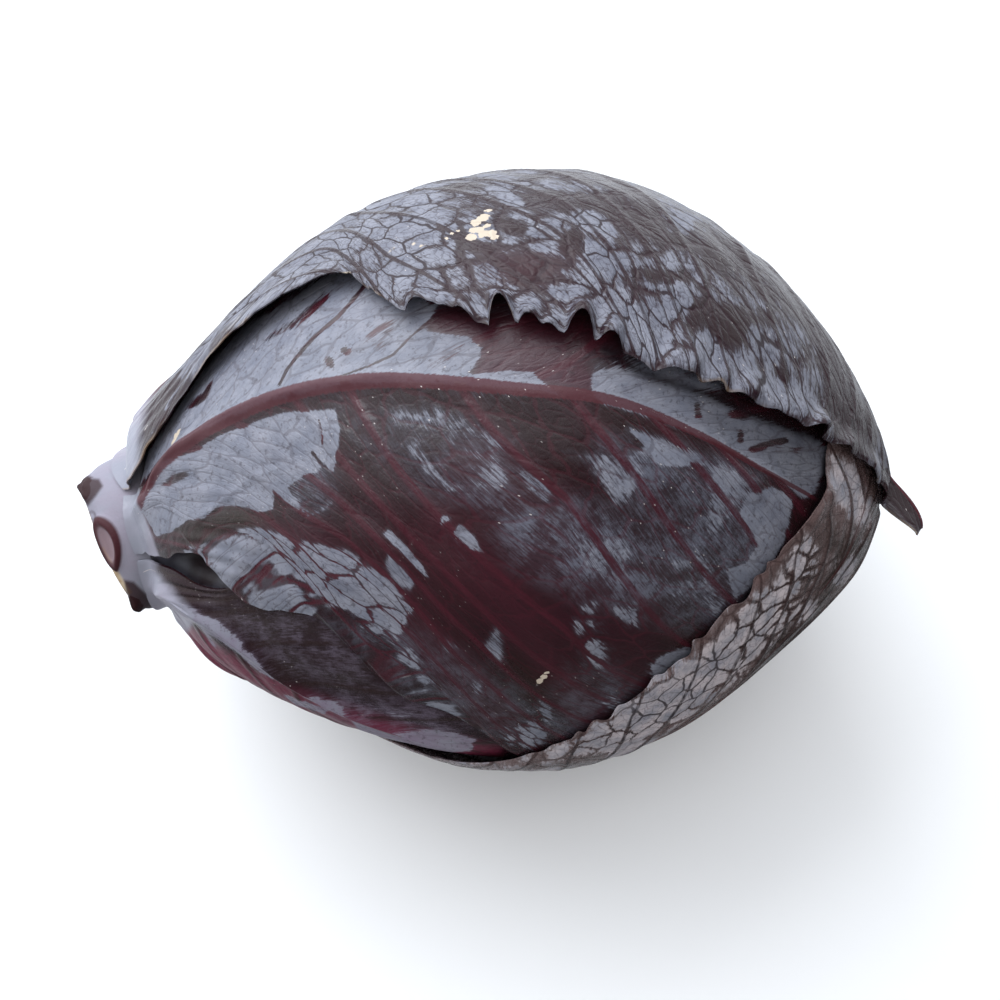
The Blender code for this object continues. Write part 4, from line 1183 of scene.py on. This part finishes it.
def leaf_material(
    name, scars, rubbed=DARK, bloom=BLOOM_COLOUR, net_strength=1.0, edge_dry=0.0, patchy=0.5,
    vein_on_bloom=0.95, rib_shown=0.9, halo_strength=0.0, flecked=0.3, shine=0.40, vein_red=VEIN_RED,
    red_halo=0.0, soft=0.10, red_skin=CRIMSON, hazy=0.22,
):
    """Waxy bloom, kept or rubbed off, over a dark skin, with the veins, pale parts and scars over both."""
    g = Graph(name + "_skin")
    place = g.place()
    net = g.attribute("net", "Vector")
    phase, gap = g.attribute("phase"), g.attribute("gap")
    warp = g.noise(net, 1.1, 2.0, output="Color")
    warp = g.vector("SCALE", g.vector("SUBTRACT", warp, HALF_GREY), scale=0.55)
    warped = g.vector("ADD", net, warp)
    coarse = g.cells(warped, COARSE_NET)
    fine = g.cells(warped, FINE_NET)
    from_vein = g.times(g.math("ABSOLUTE", g.minus(phase, g.math("ROUND", phase))), gap)
    vein_width = g.attribute("vein_width")
    lateral = g.ease(g.times(vein_width, 1.35), g.times(vein_width, 0.55), from_vein)
    coarse_line = g.ease(0.060, 0.028, coarse)
    fine_line = g.ease(0.075, 0.02, fine)
    near_coarse = g.ease(0.20, 0.03, coarse)

    large = g.noise(place, 42.0, 4.0, 0.6)
    medium = g.noise(place, 150.0, 5.0, 0.65)
    grain = g.noise(place, 900.0, 3.0, 0.6)
    level = g.swing(g.attribute("bloom"), large, 1.5)
    level = g.swing(level, medium, 0.9)
    level = g.minus(level, g.times(near_coarse, 0.08 * net_strength))
    for scale, part in ((COARSE_NET, patchy), (FINE_NET, 0.6 * patchy)):
        level = g.swing(level, g.cells(warped, scale, "F1", "Color"), part)
    level = g.minus(level, g.times(lateral, 0.35))
    brushed = g.noise(g.vector("MULTIPLY", net, (5.0, 1.1, 1.0)), 1.6, 5.0, 0.6)
    level = g.swing(level, brushed, 1.3)
    fibres = g.noise(g.vector("MULTIPLY", net, (16.0, 2.2, 1.0)), 1.0, 4.0, 0.7)
    level = g.swing(level, fibres, 1.3)
    halo = g.ease(g.times(vein_width, 4.5), g.times(vein_width, 0.5), from_vein)
    level = g.minus(level, g.times(halo, halo_strength))
    inside = g.between(-0.25, 0.60, g.ease(0.03, 0.22, coarse))
    inside = g.minus(inside, g.times(g.ease(0.22, 0.04, fine), 0.25))
    level = g.plus(level, g.times(inside, g.attribute("netted")))
    kept = g.ease(-0.04 - soft, 0.12 + soft, level)
    haze = g.ease(-0.60, 0.12, level)

    red = g.attribute("red")
    skin = g.mix(g.times(g.ease(0.30, 0.62, large), g.attribute("olive")), rubbed, OLIVE)
    skin = g.mix(g.times(red, 0.75), skin, red_skin)
    skin = g.mix(g.times(halo, red_halo), skin, CRIMSON)
    skin = g.mix(g.times(haze, hazy), skin, bloom)
    streak = g.math("MULTIPLY_ADD", fibres, 0.5, g.times(medium, 0.5))
    dusted = g.times(g.attribute("dust"), g.between(0.12, 0.87, g.ease(0.43, 0.60, streak)))
    skin = g.mix(dusted, skin, bloom)
    waxy = g.mix(g.ease(0.3, 0.7, medium), bloom, BLOOM_PALE)
    colour = g.mix(g.times(kept, 0.86), skin, waxy)
    speckle = g.times(g.ease(0.56, 0.68, grain), 0.45)
    colour = g.mix(speckle, colour, rubbed)
    fleck = g.noise(g.vector("MULTIPLY", net, (9.0, 3.5, 1.0)), 1.0, 3.0, 0.75, 0.6)
    colour = g.mix(g.times(g.ease(0.59, 0.65, fleck), flecked), colour, rubbed)
    vein_colour = g.mix(g.times(kept, 0.85), vein_red, VEIN_DARK)
    strength = g.most(g.times(g.attribute("netted"), 0.9), net_strength)
    lines = g.most(g.times(coarse_line, 0.95), g.times(fine_line, 0.40))
    lines = g.times(lines, strength)
    lateral_seen = g.between(0.8, vein_on_bloom, kept)
    lateral_seen = g.times(lateral_seen, g.between(0.55, 1.0, g.ease(0.40, 0.60, brushed)))
    lines = g.most(lines, g.times(lateral, lateral_seen))
    lines = g.times(lines, g.attribute("veined"))
    colour = g.mix(lines, colour, vein_colour)
    below = g.math("ABSOLUTE", g.plus(g.attribute("flank"), RIB_LOWER))
    ribbed = g.ease(0.50, 0.40, g.swing(below, fibres, 0.44))
    ribbed = g.times(ribbed, rib_shown)
    colour = g.mix(ribbed, colour, RIB_RED)
    pale = g.ease(0.25, 0.75, g.swing(g.attribute("pale"), medium, 0.3))
    colour = g.mix(pale, colour, g.mix(g.ease(0.3, 0.7, large), PALE_SKIN, BLOOM_PALE))
    # painted shade: near-black where the leaf lies in shadow under and beside other leaves' edges
    colour = g.mix(g.times(g.attribute("shade"), 0.85), colour, PAINTED_SHADE)
    edge = g.attribute("edge")
    rim = g.times(g.ease(1.1, 0.2, edge), edge_dry)
    colour = g.mix(rim, colour, g.mix(g.ease(0.50, 0.62, large), VEIN_DARK, TAN))
    jagged = g.vector("SUBTRACT", g.noise(place, 700.0, 3.0, output="Color"), HALF_GREY)
    jagged = g.vector("ADD", place, g.vector("SCALE", jagged, scale=SCAR_JAG))
    scarred = g.attribute("tan")
    for centre, radius in scars:
        distance = g.distance(jagged, centre)
        scarred = g.most(scarred, g.ease(radius, 0.75 * radius, distance))
    colour = g.mix(g.ease(0.3, 0.6, scarred), colour, SCAR)
    speck = g.ease(0.030, 0.018, g.cells(g.vector("MULTIPLY", net, (1.4, 1.4, 1.0)), 1.0, "F1"))
    colour = g.mix(g.times(speck, g.ease(0.50, 0.62, large)), colour, SPECK)
    g.put(g.shader.inputs["Base Color"], colour)

    rough = g.swing(g.between(0.27, 0.47, kept), grain, 0.16)
    for part, added in ((pale, 0.08), (ribbed, 0.20), (red, 0.15)):
        rough = g.plus(rough, g.times(part, added))
    g.put(g.shader.inputs["Roughness"], rough)
    g.shader.inputs["Specular IOR Level"].default_value = shine
    raised = g.plus(g.times(g.ease(0.16, 0.0, coarse), 0.9), g.times(g.ease(0.2, 0.0, fine), 0.35))
    raised = g.times(raised, g.attribute("veined"))
    g.bumps((raised, 0.22 * MM, 0.9 * net_strength), (medium, 0.4 * MM, 0.5), (grain, 0.08 * MM, 0.6))
    return g.material


# Small tan scars in the front view, as (across, down, radius in mm)
SCARS = {
    "front_leaf": (
        (178, 443, 1.3), (180, 437, 1.2), (182, 432, 0.9), (539, 677, 0.8), (544, 674, 0.8), (549, 671, 0.5),
    ),
    "back_leaf": (
        (478, 228, 1.4), (482, 223, 1.3), (486, 219, 1.1), (489, 215, 0.9), (474, 234, 1.1), (471, 241, 1.5),
        (480, 233, 1.2), (485, 235, 1.4), (490, 238, 1.3), (495, 241, 1.0), (487, 229, 0.9), (448, 241, 0.6),
        (454, 238, 0.5), (460, 234, 0.5),
    ),
}

# How many cells of the vein net lie between two side veins, and each cell's length in mm
NET_CELLS = {"low_leaf": (1.9, 7.5), "front_leaf": (2.9, 8.5), "back_leaf": (2.1, 7.5)}
NET_SHEAR = 0.37  # how far the net is set on along the leaf from one side vein to the next
TIP_NET = (4.6, 6.0)  # the tip leaf's cells, along and round, in degrees

# What sets each leaf's material apart
LOOKS = {
    "low_leaf": {
        "net_strength": 0.2, "patchy": 0.1, "vein_on_bloom": 0.1, "rib_shown": 0.0, "flecked": 0.1,
        # the low leaf's crimson is brighter than CRIMSON, partly painted light that makes up for the little
        # light on this downward-facing side
        "soft": 0.04, "shine": 0.22, "bloom": (0.20, 0.165, 0.225), "red_skin": (0.200, 0.0190, 0.0540),
        "vein_red": (0.024, 0.0120, 0.0110),
    },
    "front_leaf": {
        "net_strength": 0.35, "patchy": 0.12, "vein_on_bloom": 0.12, "red_halo": 0.22, "shine": 0.42,
        "soft": 0.10, "hazy": 0.15,
    },
    # The tip leaf's rubbed skin and bloom are much lighter than the other leaves': partly their own colour
    # and partly painted light, standing in for the bounce light that falls on this part.
    "tip_leaf": {
        "net_strength": 0.45, "patchy": 0.3, "rib_shown": 0.35, "halo_strength": 0.15, "flecked": 0.45,
        "hazy": 0.18, "rubbed": (0.128, 0.082, 0.079), "bloom": (0.58, 0.505, 0.52),
        "vein_red": (0.028, 0.0130, 0.0130),
    },
    "back_leaf": {
        "edge_dry": 0.45, "halo_strength": 0.12, "flecked": 0.75, "shine": 0.22, "patchy": 0.25,
        "soft": 0.08, "hazy": 0.12, "bloom": (0.135, 0.140, 0.178), "rubbed": (0.0185, 0.0060, 0.0090),
        "vein_red": (0.020, 0.006, 0.010),
    },
}


def leaf_piece(name):
    outer, inner, here = leaf_grid(name)
    alpha, phi = here["alpha"], here["phi"]
    base_level, places = BLOOM[name]
    flat = np.zeros_like(alpha)
    if name == "tip_leaf":
        net = np.stack([alpha / TIP_NET[0], phi / TIP_NET[1], flat], axis=-1)
    else:
        across, along = NET_CELLS[name]
        shifted = here["away"] / along + here["phase"] * NET_SHEAR
        net = np.stack([here["phase"] * across, shifted, flat], axis=-1)
    attributes = {
        "net": net,
        "phase": here["phase"],
        "gap": here["gap"],
        "flank": here["rib"] * np.sign(here["b"]),
        "edge": here["edge"],
        "vein_width": 1.0 - 0.62 * np.abs(here["b"]),
        "veined": smooth(0.0, 0.10, here["a"]) * smooth(0.35, 0.8, here["rib"]),
    }
    x, y, facing = here["seen"]
    unmarked = {
        "pale": smooth(40.0, 26.0, alpha),
        "bloom": base_level + spots(alpha, phi, places),
        "red": np.clip(spots(alpha, phi, RED[name]), 0.0, 1.0),
        "netted": np.clip(spots(alpha, phi, NETTED[name]), 0.0, 1.0),
        "olive": np.full_like(alpha, 0.3),
        "dust": flat, "shade": flat, "tan": flat,
    }
    for key, level in unmarked.items():
        attributes[key] = marked(level, x, y, facing, MARKS[name].get(key, ()))
    scars = []
    for across, down, radius in SCARS.get(name, ()):
        miss = np.hypot(x - across, y - down) + SHEET * (facing < 0.0)
        nearest = outer.reshape(-1, 3)[int(miss.argmin())]
        scars.append((tuple(float(v) for v in nearest), radius * MM))
    obj = sheet_mesh(name + "_skin", outer, inner, attributes)
    obj.data.materials.append(leaf_material(name, scars, **LOOKS[name]))
    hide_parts(name)
    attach(obj, "root")


def rings_mesh(name, rings, start, end, attributes):
    """A closed body of rings of equal length, closed by a point at each end."""
    rings = np.array(rings)
    count, around = rings.shape[:2]
    ids = 1 + np.arange(count * around).reshape(count, around)
    nxt = np.roll(ids, -1, axis=1)
    last = count * around + 1
    faces = [(0, int(ids[0, k]), int(nxt[0, k])) for k in range(around)]
    faces += np.stack([ids[:-1], ids[1:], nxt[1:], nxt[:-1]], axis=-1).reshape(-1, 4).tolist()
    faces += [(int(ids[-1, k]), last, int(nxt[-1, k])) for k in range(around)]
    points = np.vstack([[start], rings.reshape(-1, 3), [end]])
    flat = {
        key: np.concatenate([[values[0].mean()], values.ravel(), [values[-1].mean()]]).astype(np.float32)
        for key, values in attributes.items()
    }
    return skin_object(name, points, faces, flat)


def heart_piece():
    phi_line = np.linspace(-180.0, 180.0, 220, endpoint=False)
    alpha_line = np.linspace(STALK_JOIN + 0.6, 177.0, 150)
    alpha, phi = np.meshgrid(alpha_line, phi_line, indexing="ij")
    height = np.full_like(alpha, -HEART_SET_IN)
    for edge, twist, step in HEART_EDGES:
        line = (phi - edge - twist * (alpha - 90.0) / 90.0 + 180.0) % 360.0 - 180.0
        height += step * MM * (smooth(-4.0, 0.0, line) - smooth(0.0, 110.0, line))
    for rib in HEART_RIBS:
        height += HEART_RIB_HEIGHT * bump(alpha, phi, (34.0, rib, 16.0, 9.0))
    height -= bump(alpha, phi, POCKET) * POCKET[4] * MM
    height *= smooth(STALK_JOIN, STALK_JOIN + 8.0, alpha)
    rings = surface(alpha, phi, core_offset(alpha) + height)
    end = surface(np.array([179.9]), np.array([0.0]), np.array([HEART_OFFSET - HEART_SET_IN]))[0]
    # painted shade: the heart is darker in the pocket between the front and the low leaf, where it lies deep
    # in the opening
    pocket_shade = bump(alpha, phi, (41.0, -48.0, 9.0, 9.0))
    obj = rings_mesh("heart_skin", rings, rings[0].mean(axis=0), end, {"pocket_shade": pocket_shade})
    g = Graph("heart_skin")
    place = g.place()
    large, grain = g.noise(place, 60.0, 4.0), g.noise(place, 700.0, 3.0)
    skin = g.mix(g.ease(0.35, 0.65, large), DARK, BLOOM_COLOUR)
    skin = g.mix(g.attribute("pocket_shade"), skin, POCKET_SHADE)
    g.put(g.shader.inputs["Base Color"], skin)
    g.put(g.shader.inputs["Roughness"], g.between(0.32, 0.52, grain))
    g.bumps((large, 0.5 * MM, 0.4), (grain, 0.1 * MM, 0.5))
    obj.data.materials.append(g.material)
    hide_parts("heart")
    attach(obj, "root")


# Where the stalk's tan flesh is bare, and where its skin is dark, in the front view
STALK_FLESH = (
    (1.0, 0.5, ((96, 545), (104, 548), (112, 562), (122, 578), (132, 592), (122, 600),
                (104, 584), (94, 560))),
)
STALK_DARK = (
    (0.9, 0.5, ((80, 486), (88, 478), (99, 479), (103, 486), (96, 496), (88, 506), (80, 500))),
    (0.7, 0.35, (92, 516, 4.0, 5.0, 0)),
    (0.0, 0.35, (92, 516, 2.4, 3.2, 0)),
    (0.9, 0.5, ((124, 580), (134, 582), (146, 594), (152, 606), (150, 616), (138, 606), (126, 594))),
)


def stalk_piece():
    around = 240
    phi_line = np.linspace(-180.0, 180.0, around, endpoint=False)
    alpha_line = np.linspace(3.0, STALK_JOIN - 0.6, 110)
    alpha, phi = np.meshgrid(alpha_line, phi_line, indexing="ij")
    offset = core_offset(alpha)
    stub = np.zeros_like(alpha)
    for spot in STALK_STUBS:
        here = bump(alpha, phi, spot)
        offset = offset + here * spot[4] * MM * (1.0 + 0.25 * noise2(3, alpha * 1.2, phi * 0.35) * here)
        stub = np.maximum(stub, here)
    turned = (phi - STALK_SCAR[1] + 180.0) % 360.0 - 180.0
    from_middle = np.hypot((alpha - STALK_SCAR[0]) / STALK_SCAR[2], turned / STALK_SCAR[3])
    rim = np.exp(-(((from_middle - 1.0) / SCAR_RIM) ** 2))
    offset = offset + STALK_SCAR[4] * MM * np.exp(-(((from_middle - 1.0) / (0.7 * SCAR_RIM)) ** 2))
    offset = offset - 0.5 * MM * np.exp(-((from_middle / 0.7) ** 2))
    skin = surface(alpha, phi, offset)
    centre = skin[0].mean(axis=0)
    shares = np.linspace(0.06, 0.975, 40)
    cut = centre + (skin[0][None] - centre) * shares[:, None, None]
    rough = noise2(8, cut[..., 1] / MM * 1.1, cut[..., 2] / MM * 1.1) * 0.28
    fibres = noise2(9, cut[..., 1] / MM * 4.0, cut[..., 2] / MM * 1.5) * 0.10
    cut[..., 0] += (rough + fibres) * MM * smooth(1.0, 0.9, shares)[:, None]
    cut[..., 0] += 0.5 * MM * np.exp(-((shares / 0.45) ** 2))[:, None]
    rings = np.concatenate([cut, skin])
    cutness = np.concatenate([np.ones(cut.shape[:2]), np.clip(1.0 - (alpha - 3.0) / 1.6, 0.0, 1.0)])
    zeros = np.zeros(cut.shape[:2])
    x, y, facing = seen_from_front(skin)
    flesh_part = marked(np.zeros_like(alpha), x, y, facing, STALK_FLESH)
    dark_part = marked(np.zeros_like(alpha), x, y, facing, STALK_DARK)
    attributes = {
        "flesh": np.concatenate([zeros, flesh_part]),
        "dark": np.concatenate([zeros, dark_part]),
        "cut": cutness,
        "from_centre": np.concatenate([np.repeat(shares[:, None], around, 1), np.ones_like(alpha)]),
        "stub": np.concatenate([zeros, stub]),
        "rim": np.concatenate([zeros, rim * (from_middle < 1.6)]),
        "scar": np.concatenate([zeros, smooth(1.0, 0.6, from_middle)]),
    }
    obj = rings_mesh("stalk_skin", rings, centre, skin[-1].mean(axis=0), attributes)
    g = Graph("stalk_skin")
    place = g.place()
    large, medium, grain = g.noise(place, 70.0, 4.0), g.noise(place, 300.0, 4.0), g.noise(place, 1500.0, 3.0)
    skin_colour = g.mix(g.ease(0.35, 0.65, large), PALE_SKIN, BLOOM_PALE)
    flesh = g.mix(g.ease(0.3, 0.7, medium), FLESH_LIGHT, FLESH_DARK)
    centre_share = g.swing(g.attribute("from_centre"), medium, 0.16)
    flesh = g.mix(g.ease(0.62, 0.20, centre_share), flesh, FLESH_MIDDLE)
    ring = g.times(g.ease(0.66, 0.78, centre_share), g.ease(0.93, 0.84, centre_share))
    flesh = g.mix(g.times(ring, 0.7), flesh, FLESH_RING)
    colour = g.mix(g.attribute("cut"), skin_colour, flesh)
    colour = g.mix(g.attribute("flesh"), colour, flesh)
    colour = g.mix(g.ease(0.45, 0.80, g.attribute("rim")), colour, SCAR_RING)
    colour = g.mix(g.times(g.attribute("scar"), 0.8), colour, SCAR_INSIDE)
    torn = g.swing(g.attribute("stub"), medium, 0.5)
    torn = g.most(g.ease(0.30, 0.50, torn), g.attribute("dark"))
    colour = g.mix(torn, colour, TORN)
    g.put(g.shader.inputs["Base Color"], colour)
    g.put(g.shader.inputs["Roughness"], g.between(0.50, 0.70, grain))
    g.shader.inputs["Specular IOR Level"].default_value = 0.22
    g.bumps((medium, 0.4 * MM, 0.5), (grain, 0.1 * MM, 0.6))
    obj.data.materials.append(g.material)
    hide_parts("stalk")
    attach(obj, "root")


FLOOR_HALF, FLOOR_COLOUR = 3.0, (0.86, 0.86, 0.86, 1.0)
SKY_COLOUR = (0.88, 0.93, 1.0, 1.0)
SKY_SIDE = (-0.45, 1.0, 0.15)
SKY_DARK_TO, SKY_BRIGHT_FROM = -0.5, 0.6
SKY_DARK, SKY_BRIGHT = 0.10, 1.60
LIT_PLACE = (0.0, 0.0, 0.05)
# Each light: (name, place, size in m, power in W, colour, seen in reflections)
LIGHTS = (
    ("window", (-0.60, 0.80, 0.95), 1.3, 20.0, (0.90, 0.95, 1.0), True),
    ("fill", (0.1, -0.6, 1.5), 1.4, 9.0, (1.0, 0.98, 0.95), False),
)


def studio():
    mesh = bpy.data.meshes.new("floor")
    corners = [(side * FLOOR_HALF, end * FLOOR_HALF, 0) for side, end in ((-1, -1), (1, -1), (1, 1), (-1, 1))]
    mesh.from_pydata(corners, [], [(0, 1, 2, 3)])
    floor = linked("floor", mesh)
    g = Graph("floor")
    g.shader.inputs["Base Color"].default_value = FLOOR_COLOUR
    g.shader.inputs["Roughness"].default_value = 0.8
    mesh.materials.append(g.material)
    floor.visible_glossy = False
    world = bpy.data.worlds.new("studio")
    bpy.context.scene.world = world
    world.use_nodes = True
    tree = world.node_tree
    background = tree.nodes["Background"]
    background.inputs["Color"].default_value = SKY_COLOUR
    towards = tree.nodes.new("ShaderNodeTexCoord").outputs["Generated"]
    across = tree.nodes.new("ShaderNodeVectorMath")
    across.operation = "DOT_PRODUCT"
    tree.links.new(towards, across.inputs[0])
    across.inputs[1].default_value = SKY_SIDE
    glow = tree.nodes.new("ShaderNodeMapRange")
    glow.interpolation_type = "SMOOTHSTEP"
    glow.inputs["From Min"].default_value = SKY_DARK_TO
    glow.inputs["From Max"].default_value = SKY_BRIGHT_FROM
    glow.inputs["To Min"].default_value = SKY_DARK
    glow.inputs["To Max"].default_value = SKY_BRIGHT
    tree.links.new(across.outputs["Value"], glow.inputs["Value"])
    tree.links.new(glow.outputs["Result"], background.inputs["Strength"])
    for name, place, size, power, colour, mirrored in LIGHTS:
        light = bpy.data.lights.new(name, "AREA")
        light.energy, light.size, light.color = power, size, colour
        obj = linked(name, light)
        obj.visible_glossy = mirrored
        obj.location = place
        obj.rotation_euler = (Vector(LIT_PLACE) - Vector(place)).to_track_quat("-Z", "Y").to_euler()


def camera():
    data = bpy.data.cameras.new("photo_view")
    data.lens, data.sensor_width = LENS, SENSOR
    back, right = Vector(VIEW_BACK), Vector(VIEW_RIGHT)
    turn = Matrix((right, back.cross(right), back)).transposed().to_4x4()
    obj = linked("photo_view", data)
    obj.matrix_world = Matrix.Translation(Vector(VIEW_AIM) + back * VIEW_DISTANCE) @ turn
    bpy.context.scene.camera = obj


bpy.context.scene.view_settings.view_transform = "Standard"
camera()
studio()
stalk_piece()
heart_piece()
for leaf_name in LEAVES:
    leaf_piece(leaf_name)
